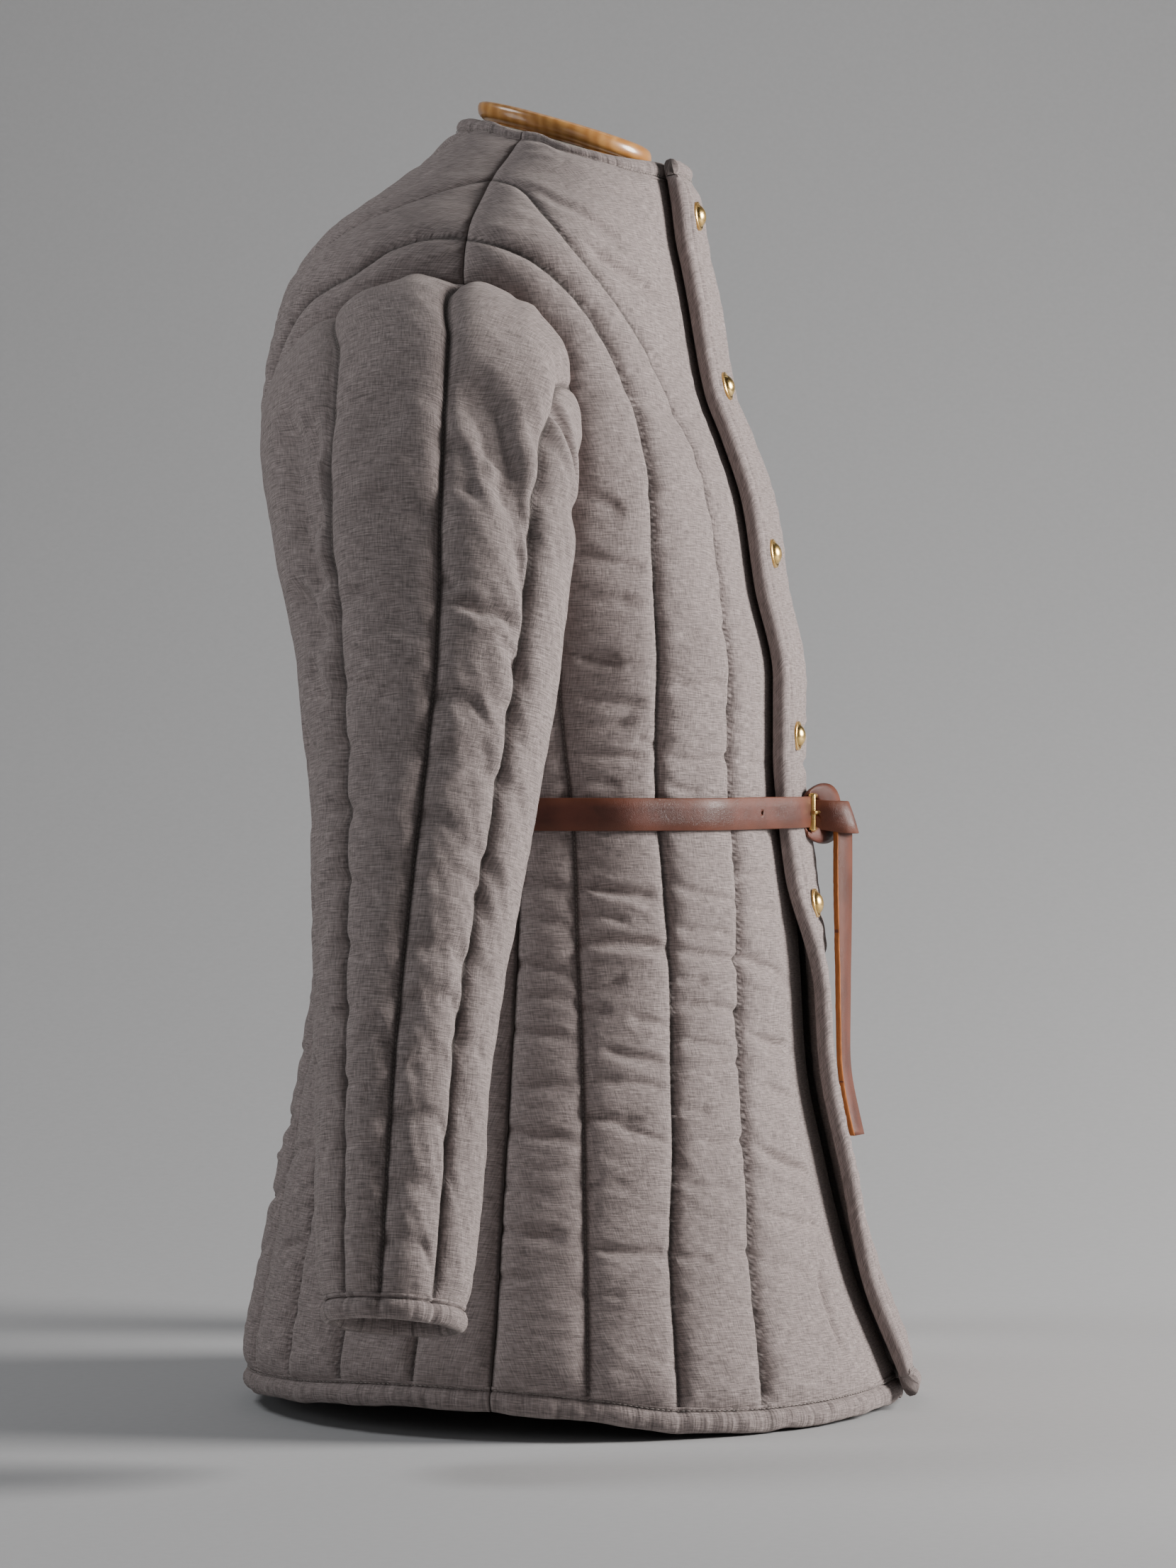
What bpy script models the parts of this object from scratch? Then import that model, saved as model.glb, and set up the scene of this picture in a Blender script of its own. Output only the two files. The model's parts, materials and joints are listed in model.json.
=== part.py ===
"""Quilted linen gambeson with its leather belt, worn by a limbless dress form.

Metres, +Z up; the wearer faces -Y and their right side is at -X. The tables are in millimetres. The cloth is
described on one body surface: q runs round the wearer's right half (0 at the side seam, 1 at centre front,
-1 at centre back, past 1 it has crossed to the left half) and z is the height.
"""

import math

import bmesh
import bpy
import numpy as np
from mathutils import Vector

MM = 0.001
DROP = 8.0  # the cloth and the form are set this much lower than their tables say

# The body surface: height, half width, front Y, back Y, Y of the widest point, power of the superellipse.
BODY_RINGS = np.array(
    [
        (8, 236, -238, 191, -24, 2.0),
        (40, 231, -224, 188, -26, 2.02),
        (92, 222, -205, 177, -28, 2.06),
        (165, 206, -189, 161, -28, 2.12),
        (223, 192, -177, 148, -28, 2.2),
        (301, 176, -169, 136, -28, 2.28),
        (373, 167, -158, 127, -28, 2.32),
        (420, 168, -154, 128, -28, 2.35),
        (466, 175, -154, 137, -28, 2.42),
        (524, 186, -142, 153, -27, 2.55),
        (576, 193, -134, 163, -22, 2.6),
        (619, 197, -120, 168, -15, 2.6),
        (645, 199, -110, 167, -10, 2.55),
        (680, 200, -103, 161, -4, 2.45),
        (704, 197, -99, 155, 0, 2.4),
        (725, 189, -95, 146, 1, 2.3),
        (745, 171, -91, 131, 2, 2.22),
        (764, 142, -89, 108, 2, 2.15),
        (780, 118, -87, 89, 1, 2.1),
        (796, 92, -85, 71, -2, 2.05),
        (822, 62, -80, 57, -8, 2.0),
        (840, 55, -76, 52, -10, 2.0),
    ],
    float,
)

# Wall of the quilted cloth, as distances out from the body surface.
GROOVE = -4.0
CROWN = 3.0
LINING = -9.0
# How far the left front's face and lining stand out where it laps over the right.
LAP_RISE, LAP_UNDER = 10.6, 8.8
FLAP_LIFT = 1.5
RIGHT_EDGE_PAST_CENTRE = 20.0
LEFT_EDGE_PAST_CENTRE = 22.0
TOPSTITCH_IN = 9.0
SEAM_GAP_Q = 0.0014

# Lower edge of the panels (the hem binding hangs below it) and their neck edge: q, height.
HEM_EDGE = [(-1, 29), (-0.45, 36), (-0.15, 41), (0, 40), (0.18, 35), (0.35, 27), (0.55, 25), (1, 27),
            (1.1, 27)]
NECK_EDGE = [(-1, 819), (-0.34, 815), (-0.1, 809), (0, 807), (0.09, 805), (0.25, 797), (0.43, 791),
             (0.67, 785), (1.2, 784)]

# Armhole, from the armpit to the shoulder tip: q, height.
ARMHOLE_FRONT = [(0, 532), (0.06, 540), (0.12, 556), (0.175, 586), (0.215, 614), (0.235, 638), (0.235, 658),
                 (0.215, 672), (0.18, 682), (0.14, 691), (0.06, 700), (0, 703)]
ARMHOLE_BACK = [(0, 532), (-0.12, 536), (-0.25, 549), (-0.37, 576), (-0.45, 612), (-0.47, 642), (-0.38, 663),
                (-0.265, 683), (-0.17, 697), (-0.08, 705), (0, 703)]
# Corners of the armhole's edge, as shares of its run.
ARMHOLE_FRONT_AT = (0, 0.09, 0.18, 0.27, 0.35, 0.55, 0.64, 0.72, 1)
ARMHOLE_BACK_AT = (0, 0.08, 0.16, 0.235, 0.31, 0.40, 0.44, 0.475, 0.51, 0.65, 0.70, 0.80, 1)
SHOULDER_B, SHOULDER_C, NECK_POINT = 733.0, 776.0, 807.0

# Quilting lines of a front, from the hem to the top: q, height.
FRONT_A = [(0.178, 33), (0.172, 192), (0.165, 240), (0.150, 300), (0.140, 366), (0.130, 394), (0.108, 456),
           (0.115, 500), (0.145, 550), (0.185, 592.5)]
FRONT_B = [(0.345, 27), (0.355, 112), (0.385, 192), (0.39, 260), (0.38, 330), (0.368, 420), (0.372, 480),
           (0.388, 544), (0.415, 600), (0.422, 628), (0.405, 650), (0.36, 674), (0.265, 702), (0.155, 720),
           (0, 733)]
FRONT_C = [(0.52, 25), (0.565, 122), (0.60, 202), (0.612, 290), (0.635, 370), (0.632, 440), (0.645, 506),
           (0.66, 540), (0.652, 572), (0.648, 596), (0.63, 616), (0.59, 644), (0.505, 676), (0.395, 704),
           (0.30, 726), (0.22, 746), (0.135, 764), (0, 776)]
FRONT_N = [(0.72, 26), (0.76, 300), (0.78, 500), (0.77, 600), (0.68, 680), (0.5, 729), (0.3, 766),
           (0.12, 795), (0, 807)]
# Quilting lines of the back.
BACK_1 = [(-0.15, 41), (-0.14, 300), (-0.14, 420), (-0.17, 480), (-0.25, 530), (-0.341, 569.5)]
BACK_2 = [(-0.315, 39), (-0.33, 300), (-0.335, 420), (-0.38, 500), (-0.46, 570), (-0.49, 610), (-0.4625, 623)]
BACK_3 = [(-0.47, 35), (-0.47, 300), (-0.50, 420), (-0.56, 520), (-0.60, 600), (-0.56, 660), (-0.42, 696),
          (-0.26, 713), (-0.18, 726), (-0.09, 732), (0, 733)]
BACK_4 = [(-0.635, 32), (-0.64, 300), (-0.66, 420), (-0.72, 560), (-0.72, 650), (-0.62, 700), (-0.42, 738),
          (-0.22, 758), (-0.11, 768), (0, 776)]
BACK_N = [(-0.72, 31), (-0.73, 300), (-0.78, 560), (-0.77, 680), (-0.62, 738), (-0.38, 776), (-0.15, 797),
          (0, 807)]
BACK_5 = [(-0.81, 30), (-0.82, 400), (-0.86, 600), (-0.84, 700), (-0.74, 762), (-0.58, 797), (-0.45, 815.8)]
BACK_6 = [(-1, 29), (-1, 300), (-1, 600), (-1, 819)]

# Right sleeve's rings: X and Z on its outer side, X and Z under the arm, Y of the middle, half depth front
# to back.
SLEEVE_RINGS = np.array(
    [
        (-190, 703, -190, 533, 25, 93),
        (-222, 697, -200, 530, 24, 95),
        (-252, 676, -206, 523, 19, 95),
        (-278, 642, -207, 512, 14, 93),
        (-300, 600, -211, 500, 9, 89),
        (-318, 552, -217, 480, 4, 84),
        (-333, 500, -226, 450, -2, 76),
        (-355, 413, -245, 387, -6, 65),
        (-399, 250, -301, 228, -8, 47.5),
        (-423, 115, -327, 93, -10, 40.5),
    ],
    float,
)
# Channels of the sleeve between its quilting lines: angle at its first line (270 underarm, 360 front, 450
# outside) and the places of its columns on the armhole's edge, counted in that edge's points from the armpit
# up the front.
SLEEVE_CHANNELS = [
    (270, (0, 0.5, 1, 1.5)),
    (335, (2, 3, 4, 4.5)),
    (399.5, (5, 6, 7, 7.5)),
    (450, (8, 8.5, 9, 9.5)),
    (515, (10, 11, 12, 13, 14)),
    (572, (15, 16, 17, 18, 19)),
]
SLEEVE_GROOVE, SLEEVE_CROWN, SLEEVE_LINING = -3.0, 4.0, -8.0
CUFF_BINDING = 13.0
ARMHOLE_MARGIN = 5.0  # between the rows of points that bend round an armhole

NECK_BINDING = 11.0
HEM_BINDING = 14.0

BUTTON_HEIGHTS = (760.0, 650.0, 544.5, 430.5, 323.0)
BUTTON_PROFILE = [(0, 0), (9.25, 0), (9.25, 1.4), (8.3, 1.9), (7.2, 1.7), (5.2, 4.0), (2.6, 5.2), (0, 5.6)]

BELT_HEIGHT = 382.0
BELT_WIDTH = 20.0
BELT_THICK = 3.0

# Dress form: the same columns as the body surface.
FORM_RINGS = np.array(
    [
        (236, 118, -98, 90, -8, 2.1),
        (241, 136, -114, 105, -9, 2.1),
        (256, 148, -126, 115, -12, 2.1),
        (300, 152, -133, 116, -16, 2.1),
        (350, 146, -130, 110, -18, 2.15),
        (400, 140, -126, 104, -20, 2.2),
        (466, 148, -128, 112, -20, 2.25),
        (524, 160, -122, 130, -20, 2.35),
        (576, 168, -116, 144, -18, 2.4),
        (619, 172, -104, 149, -13, 2.4),
        (655, 173, -93, 147, -6, 2.35),
        (682, 175, -86, 138, -2, 2.3),
        (704, 175, -80, 122, 0, 2.2),
        (720, 172.5, -76, 106, 0, 2.15),
        (736, 162.3, -71, 89, 0, 2.1),
        (752, 140, -68, 70, -3, 2.05),
        (768, 112, -66, 53, -6, 2.0),
        (784, 60, -64, 45, -10, 2.0),
        (796, 50, -63, 42, -12, 2.0),
        (813, 48, -63, 40, -12, 2.0),
    ],
    float,
)
NECK_SLOPE = 0.3
FORM_BOTTOM, FORM_TOP, FORM_SIDES = 236.0, 813.0, 24
CAP_HALF_WIDTH, CAP_FRONT, CAP_BACK, CAP_SIDES = 50.0, -70.0, 42.0, 28
# Neck cap's outline from its underside to its top: share of its width, height.
CAP_PROFILE = [(0.9, 0.0), (0.975, 2.0), (1.0, 6.0), (0.985, 10.0), (0.92, 13.0), (0.8, 14.0)]
POLE_RADIUS, POLE_SIDES = 12.0, 14
BASE_RADIUS, BASE_THICK, BASE_SIDES = 70.0, 10.0, 32
BASE_GAP = 0.3  # between the pole's foot and its base

LINEN = ((0.235, 0.205, 0.190, 1), 0.9, 0.0)
BINDING = ((0.205, 0.178, 0.165, 1), 0.85, 0.0)
BRASS = ((0.62, 0.42, 0.16, 1), 0.3, 1.0)
LEATHER = ((0.16, 0.045, 0.025, 1), 0.5, 0.0)
WOOD = ((0.55, 0.24, 0.06, 1), 0.35, 0.0)
FORM_CLOTH = ((0.62, 0.58, 0.52, 1), 0.9, 0.0)
STEEL = ((0.30, 0.30, 0.31, 1), 0.35, 1.0)


def curve(x, y, at):
    """Smooth monotone curve through the points (x, y), read at `at`."""
    x, y = np.asarray(x, float), np.asarray(y, float)
    h = np.diff(x)
    d = np.diff(y) / h
    m = np.zeros_like(y)
    w1, w2 = 2 * h[1:] + h[:-1], h[1:] + 2 * h[:-1]
    for i in range(1, len(y) - 1):
        if d[i - 1] * d[i] > 0:
            m[i] = (w1[i - 1] + w2[i - 1]) / (w1[i - 1] / d[i - 1] + w2[i - 1] / d[i])
    m[0], m[-1] = d[0], d[-1]
    at = np.clip(np.asarray(at, float), x[0], x[-1])
    k = np.clip(np.searchsorted(x, at) - 1, 0, len(h) - 1)
    t = (at - x[k]) / h[k]
    return (
        (1 + 2 * t) * (1 - t) ** 2 * y[k]
        + t * (1 - t) ** 2 * h[k] * m[k]
        + t * t * (3 - 2 * t) * y[k + 1]
        + t * t * (t - 1) * h[k] * m[k + 1]
    )


def step(x, low, high):
    t = np.clip((np.asarray(x, float) - low) / (high - low), 0, 1)
    return t * t * (3 - 2 * t)


# Panels' rows of points: their shares from the hem to the top, and the ones that the lining keeps.
SPLIT_AT = 0.7  # share of the rows' run below the armpits
ROWS = np.concatenate([[0], np.linspace(0.05, SPLIT_AT, 15), np.linspace(0.7375, 1, 8)])
KEEP_ROWS = [0, 1, 3, 5, 7, 9, 11, 13, 15, 17, 19, 21, 23, 24, 25]
# Share of the crown's height at each column, from the side seam to the front edge and to centre back.
FRONT_CROWNS = [0, 0.77, 1, 0.77, 0, 0.7, 1, 0.95, 0.65, 0, 0.77, 1, 0.77, 0, 0.75, 0.95, 1, 1, 1, 0.9, 0.7]
FRONT_CROWNS += [0, 0.25]
BACK_CROWNS = [0, 0.77, 1, 0.77] * 2 + [0, 0.7, 1, 0.95, 0.65] + [0, 0.77, 1, 0.77] * 3 + [0]


# Body surface -----------------------------------------------------------------------------------------------

TABLE_STEP, TABLE_Q = 4.0, 49


def body_table():
    """|X| and Y on a grid of heights and q from -1 to 1, evenly spaced round each ring; and the front lengths."""
    heights = np.arange(0, 844, TABLE_STEP)
    rings = BODY_RINGS.T
    half, front, back, centre, power = (curve(rings[0], column, heights) for column in rings[1:])
    table = np.zeros((len(heights), 2 * TABLE_Q - 1, 2))
    lengths = np.zeros(len(heights))
    angle = np.linspace(0, math.pi / 2, 361)
    for i in range(len(heights)):
        for side, depth in ((1, centre[i] - front[i]), (-1, back[i] - centre[i])):
            x = half[i] * np.cos(angle) ** (2 / power[i])
            y = centre[i] - side * depth * np.sin(angle) ** (2 / power[i])
            x[-1] = 0
            run = np.concatenate([[0], np.cumsum(np.hypot(np.diff(x), np.diff(y)))])
            at = np.linspace(0, run[-1], TABLE_Q)
            pair = np.stack([np.interp(at, run, x), np.interp(at, run, y)], 1)
            if side == 1:
                table[i, TABLE_Q - 1 :] = pair
                lengths[i] = run[-1]
            else:
                table[i, :TABLE_Q] = pair[::-1]
    return heights, table, lengths


HEIGHTS, TABLE, LENGTHS = body_table()


def on_body(q, z):
    q, z = np.broadcast_arrays(np.asarray(q, float), np.asarray(z, float))
    sign = np.where(np.abs(q) > 1, 1.0, -1.0)
    q = np.where(q > 1, 2 - q, np.where(q < -1, -2 - q, q))
    u = (q + 1) * (TABLE_Q - 1)
    v = np.clip(z / TABLE_STEP, 0, len(HEIGHTS) - 1.001)
    i, j = v.astype(int), np.clip(u.astype(int), 0, 2 * TABLE_Q - 3)
    fv, fu = (v - i)[..., None], (u - j)[..., None]
    low = (1 - fu) * TABLE[i, j] + fu * TABLE[i, j + 1]
    high = (1 - fu) * TABLE[i + 1, j] + fu * TABLE[i + 1, j + 1]
    p = (1 - fv) * low + fv * high
    return np.stack([sign * p[..., 0], p[..., 1], z], -1)


def body_normal(q, z):
    q, z = np.asarray(q, float), np.asarray(z, float)
    n = np.cross(on_body(q + 0.03, z) - on_body(q - 0.03, z), on_body(q, z + 6) - on_body(q, z - 6))
    return n / np.linalg.norm(n, axis=-1, keepdims=True)


def trace(points, split=None):
    """A function of s from 0 to 1 along the smooth line through (q, height) points. With a split, s = SPLIT_AT
    falls at that height."""
    points = np.array(points, float)
    run = np.concatenate([[0], np.cumsum(np.hypot(np.diff(points[:, 0]) * 240, np.diff(points[:, 1])))])
    run /= run[-1]
    part = np.interp(split, points[:, 1], run) if split else SPLIT_AT

    def at(s):
        s = np.interp(s, [0, SPLIT_AT, 1], [0, part, 1])
        return np.stack([curve(run, points[:, 0], s), curve(run, points[:, 1], s)], -1)

    return at


def relax(grid, free, edge):
    """Evens out the free points of a grid (elliptic smoothing), so that its cells bend round the armhole
    unfolded. `edge` is the armhole's own points: each row is kept farther out from it than the row above."""
    p = grid * (240.0, 1.0)
    edge = edge * (240.0, 1.0)
    middle = np.array([0.0, (edge[0, 1] + edge[-1, 1]) / 2])
    sign = np.sign(edge[1:-1, 0].mean())
    edge_angle = np.arctan2(edge[:, 1] - middle[1], sign * edge[:, 0])
    edge_radius = np.linalg.norm(edge - middle, axis=1)
    margin = ARMHOLE_MARGIN * np.minimum(np.arange(len(p))[::-1], 5)[1:-1, None]
    for _ in range(400):
        along = (p[1:-1, 2:] - p[1:-1, :-2]) / 2
        up = (p[2:, 1:-1] - p[:-2, 1:-1]) / 2
        a = (up**2).sum(-1, keepdims=True) + 1e-6
        c = (along**2).sum(-1, keepdims=True) + 1e-6
        b = (along * up).sum(-1, keepdims=True)
        cross = (p[2:, 2:] - p[2:, :-2] - p[:-2, 2:] + p[:-2, :-2]) / 4
        new = a * (p[1:-1, 2:] + p[1:-1, :-2]) + c * (p[2:, 1:-1] + p[:-2, 1:-1]) - 2 * b * cross
        new /= 2 * (a + c)
        from_middle = new - middle
        radius = np.linalg.norm(from_middle, axis=-1)
        angle = np.arctan2(from_middle[..., 1], sign * from_middle[..., 0])
        least = np.interp(angle, edge_angle, edge_radius) + margin
        new = middle + from_middle * (np.maximum(radius, least) / radius)[..., None]
        p[1:-1, 1:-1] = np.where(free[1:-1, 1:-1, None], 0.3 * p[1:-1, 1:-1] + 0.7 * new, p[1:-1, 1:-1])
    return p / (240.0, 1.0)


def panel_grid(lines, counts, top, hold, armhole):
    """(q, height) of a panel's points: rows by columns, following its quilting lines, its hem and its top edge.
    Above the armpits only the columns in `hold` keep to their lines. The first `armhole` columns end on the
    armhole, and their last row but one runs beside it."""
    rows = ROWS
    hem_q, hem_z = zip(*HEM_EDGE)
    columns = []
    for n, count in enumerate(counts):
        last = n == len(counts) - 1
        for k in range(count + last):
            w = k / count
            columns.append((1 - w) * lines[n](rows) + w * lines[n + 1](rows))
    grid = np.stack(columns, 1)
    hem = grid[0].copy()
    mirrored = np.where(hem[:, 0] < -1, -2 - hem[:, 0], hem[:, 0])
    hem[:, 1] = curve(hem_q, hem_z, mirrored)
    fade = rows[:, None, None]
    late = np.clip((fade - SPLIT_AT) / (1 - SPLIT_AT), 0, 1) ** 1.5
    grid = grid + (1 - fade) ** 4 * (hem - grid[0]) + late * (top - grid[-1])
    free = np.broadcast_to(rows[:, None] > 0.6, grid.shape[:2]).copy()
    free[:, list(hold)] = False
    grid[-2, 0, 1] = top[0, 1] - 2.5 * ARMHOLE_MARGIN
    free[-2, 0] = False
    grid = relax(grid, free, top[:armhole])
    low = grid[:1] + 0.35 * (grid[1:2] - grid[:1])
    high = grid[-2:-1] + 0.55 * (grid[-1:] - grid[-2:-1])
    return np.concatenate([grid[:1], low, grid[1:-1], high, grid[-1:]])


# Meshes -----------------------------------------------------------------------------------------------------


def fan(fine, coarse, kept):
    """Faces between a fine edge and its coarser twin, which keeps the fine edge's points at `kept`."""
    faces = []
    for n in range(len(kept) - 1):
        i, j = kept[n], kept[n + 1]
        m = (i + j) // 2
        faces += [(fine[k], fine[k + 1], coarse[n]) for k in range(i, m)]
        faces.append((coarse[n], fine[m], coarse[n + 1]))
        faces += [(fine[k], fine[k + 1], coarse[n + 1]) for k in range(m, j)]
    return faces


def wall(outer, inner, keep_rows, keep_columns, tube=False):
    """A cloth wall: its quilted outer grid, a plainer inner one, and rims between them."""
    rows, cols = outer.shape[:2]
    verts = [tuple(p) for p in outer.reshape(-1, 3)]
    start = len(verts)
    verts += [tuple(p) for p in inner[np.ix_(keep_rows, keep_columns)].reshape(-1, 3)]
    few = len(keep_columns)

    def out_at(r, c):
        return r * cols + c % cols

    def in_at(r, c):
        return start + r * few + c % few

    faces = []
    for r in range(rows - 1):
        for c in range(cols if tube else cols - 1):
            faces.append((out_at(r, c), out_at(r, c + 1), out_at(r + 1, c + 1), out_at(r + 1, c)))
    for r in range(len(keep_rows) - 1):
        for c in range(few if tube else few - 1):
            faces.append((in_at(r, c), in_at(r + 1, c), in_at(r + 1, c + 1), in_at(r, c + 1)))
    round_fine = list(range(cols + 1)) if tube else list(range(cols))
    round_kept = [*keep_columns, cols] if tube else list(keep_columns)
    for r_fine, r_few in ((0, 0), (rows - 1, len(keep_rows) - 1)):
        fine = [out_at(r_fine, c) for c in round_fine]
        coarse = [in_at(r_few, c) for c in range(len(round_kept))]
        faces += fan(fine, coarse, round_kept)
    if not tube:
        for c_fine, c_few in ((0, 0), (cols - 1, few - 1)):
            fine = [out_at(r, c_fine) for r in range(rows)]
            coarse = [in_at(r, c_few) for r in range(len(keep_rows))]
            faces += fan(fine, coarse, keep_rows)
    return verts, faces


def sweep(sections, closed=False):
    """A solid through equal cross-sections (n, m, 3), capped at both ends unless it closes on itself."""
    n, m = sections.shape[:2]
    verts = [tuple(p) for p in sections.reshape(-1, 3)]
    faces = []
    for i in range(n if closed else n - 1):
        j = (i + 1) % n
        for k in range(m):
            l = (k + 1) % m
            faces.append((i * m + k, i * m + l, j * m + l, j * m + k))
    if not closed:
        faces += [tuple(range(m))[::-1], tuple((n - 1) * m + k for k in range(m))]
    return verts, faces


def add(name, verts, faces, look, drop=DROP, sharp=None):
    """Closed mesh in millimetres to a named object in metres, its faces turned outwards."""
    mesh = bpy.data.meshes.new(name)
    mesh.from_pydata([(x * MM, y * MM, (z - drop) * MM) for x, y, z in verts], [], faces)
    shape = bmesh.new()
    shape.from_mesh(mesh)
    bmesh.ops.triangulate(shape, faces=shape.faces[:])
    bmesh.ops.recalc_face_normals(shape, faces=shape.faces[:])
    if shape.calc_volume(signed=True) < 0:
        bmesh.ops.reverse_faces(shape, faces=shape.faces[:])
    shape.to_mesh(mesh)
    shape.free()
    for face in mesh.polygons:
        face.use_smooth = True
    if sharp:
        mesh.set_sharp_from_angle(angle=math.radians(sharp))
    colour, roughness, metallic = look
    material = bpy.data.materials.new(name)
    material.use_nodes = True
    shader = material.node_tree.nodes["Principled BSDF"]
    shader.inputs["Base Color"].default_value = colour
    shader.inputs["Roughness"].default_value = roughness
    shader.inputs["Metallic"].default_value = metallic
    material.diffuse_color = colour
    mesh.materials.append(material)
    obj = bpy.data.objects.new(name, mesh)
    bpy.context.scene.collection.objects.link(obj)
    return obj


def flipped(verts):
    return [(-x, y, z) for x, y, z in verts]


# Panels -----------------------------------------------------------------------------------------------------

def edge_line(past_centre):
    """The front edge, and a line set in from it: q at each height, a fixed distance past centre front."""
    heights = np.array([26, 60, 120, 200, 280, 360, 440, 520, 600, 680, 740, 784], float)
    return [(1 + past_centre / np.interp(z, HEIGHTS, LENGTHS), z) for z in heights]


def pinched(crown, shape, armhole, shoulder):
    """Crowns on every row, drawn in at the hem and the top edge, most of all along the armhole and the neck."""
    crown = np.broadcast_to(crown, shape).copy()
    crown[0] *= 0.3
    crown[-1, :armhole] *= 0.05
    crown[-2, :armhole] *= 0.5
    crown[-1, armhole:shoulder] *= 0.4
    crown[-1, shoulder:] *= 0.1
    return crown


def front_panel(left):
    past = LEFT_EDGE_PAST_CENTRE if left else RIGHT_EDGE_PAST_CENTRE
    side = [(0, 40), (0, 200), (0, 400), (0, 532)]
    edge = edge_line(past)
    stitched = edge_line(past - TOPSTITCH_IN)
    splits = (405, 465, 550, 560, 560, 560, 560)
    lines = [trace(*p) for p in zip((side, FRONT_A, FRONT_B, FRONT_C, FRONT_N, stitched, edge), splits)]
    counts = [4, 5, 4, 3, 5, 1]
    arm = trace(ARMHOLE_FRONT)
    neck_q, neck_z = zip(*NECK_EDGE)
    top = [arm(s) for s in ARMHOLE_FRONT_AT]
    top += [np.array([0, z]) for z in np.linspace(SHOULDER_B, SHOULDER_C, 5)]
    top += [np.array([0, z]) for z in np.linspace(SHOULDER_C, NECK_POINT, 4)[1:]]
    q_stitched, q_edge = stitched[-1][0], edge[-1][0]
    top += [np.array([q, curve(neck_q, neck_z, q)]) for q in (0.2, 0.4, 0.62, 0.84, q_stitched)]
    top.append(np.array([q_edge, curve(neck_q, neck_z, q_edge)]))
    grid = panel_grid(lines, counts, np.array(top), hold=(9, 13, 16, 21), armhole=9)
    q = np.maximum(grid[..., 0], SEAM_GAP_Q)
    z = grid[..., 1]
    crown = pinched(FRONT_CROWNS, q.shape, armhole=9, shoulder=14)
    from_centre = (1 - q) * np.interp(z, HEIGHTS, LENGTHS)
    if left:
        fade = 85 - 52 * step(z, 590, 650)
        rise = 1 - step(from_centre, 27, 27 + fade)
        lift = FLAP_LIFT * (1 - step(from_centre, -LEFT_EDGE_PAST_CENTRE, 0))
        outer = GROOVE + (CROWN - GROOVE) * crown * (1 - 0.25 * rise) + LAP_RISE * rise + lift
        inner = LINING + LAP_UNDER * rise + lift
    else:
        lap = 1 - step(from_centre, 26, 55)
        outer = GROOVE + (CROWN - GROOVE) * crown * (1 - 0.9 * lap)
        inner = LINING + 0 * q
    base, normal = on_body(q, z), body_normal(q, z)
    keep = [0, 2, 4, 6, 8, 9, 11, 13, *range(16, 23)]
    return base + normal * outer[..., None], base + normal * inner[..., None], normal, keep


def back_panel():
    side = [(0, 40), (0, 200), (0, 400), (0, 532)]
    splits = (405, 445, 495, 550, 560, 560, 560, 560)
    half = [trace(*p) for p in zip((side, BACK_1, BACK_2, BACK_3, BACK_4, BACK_N, BACK_5, BACK_6), splits)]
    half_counts = [4, 4, 5, 4, 2, 2, 4]
    arm = trace(ARMHOLE_BACK)
    neck_q, neck_z = zip(*NECK_EDGE)
    top = [arm(s) for s in ARMHOLE_BACK_AT]
    top += [np.array([0, z]) for z in np.linspace(SHOULDER_B, SHOULDER_C, 5)]
    top += [np.array([0, z]) for z in np.linspace(SHOULDER_C, NECK_POINT, 3)[1:]]
    top += [np.array([q, curve(neck_q, neck_z, q)]) for q in (-0.22, -0.45, -0.58, -0.72, -0.86, -1)]
    grid = panel_grid(half, half_counts, np.array(top), hold=(13, 17, 19, 21), armhole=13)
    q = np.minimum(grid[..., 0], -SEAM_GAP_Q)
    z = grid[..., 1]
    crown = pinched(BACK_CROWNS, q.shape, armhole=13, shoulder=18)
    base, normal = on_body(q, z), body_normal(q, z)
    outer = base + normal * (GROOVE + (CROWN - GROOVE) * crown)[..., None]
    inner = base + normal * LINING

    def whole(points):
        other = points[:, -2::-1].copy()
        other[..., 0] *= -1
        return np.concatenate([points, other], 1)

    few = [0, 2, 4, 6, 8, 10, 12, 13, 15, 17, *range(19, 26)]
    last = 2 * (outer.shape[1] - 1)
    keep = few + [last - k for k in few[-2::-1]]
    return whole(outer), whole(inner), whole(normal), keep


def up_the_wall(normal, sign):
    """Up (or down) the cloth, at right angles to its normals."""
    along = np.array([0, 0, 1.0]) - normal * normal[:, 2:]
    return sign * along / np.linalg.norm(along, axis=1, keepdims=True)


def binding_strip(outer, inner, along, length, clear=0.4, plump=1.4):
    """Rolled binding past a panel's edge: outer and inner are the edge's points, along leads away from it."""
    out = outer - inner
    out /= np.linalg.norm(out, axis=1, keepdims=True)
    low, high = along * clear, along * (clear + length)
    middle = along * (clear + length * 0.5)
    return np.stack(
        [
            outer + low,
            outer + middle + out * plump,
            outer + high - out * 1.2,
            inner + high + out * 1.0,
            inner + middle - out * plump * 0.6,
            inner + low,
        ],
        1,
    )


# Scene ------------------------------------------------------------------------------------------------------

for old in list(bpy.data.objects):
    bpy.data.objects.remove(old, do_unlink=True)

front_outer, front_inner, front_normal, front_keep = front_panel(left=False)
add("front_right", *wall(front_outer, front_inner, KEEP_ROWS, front_keep), LINEN)
left_outer, left_inner, _, left_keep = front_panel(left=True)
verts, faces = wall(left_outer, left_inner, KEEP_ROWS, left_keep)
add("front_left", flipped(verts), faces, LINEN)
back_outer, back_inner, back_normal, back_keep = back_panel()
add("back", *wall(back_outer, back_inner, KEEP_ROWS, back_keep), LINEN)

# Bindings: the hem's run below the panels, the neck's above them.
FRONT_HEM = slice(0, None)
FRONT_NECK = slice(16, None)
BACK_HEM = slice(0, None)
BACK_NECK = slice(19, back_outer.shape[1] - 19)


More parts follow.
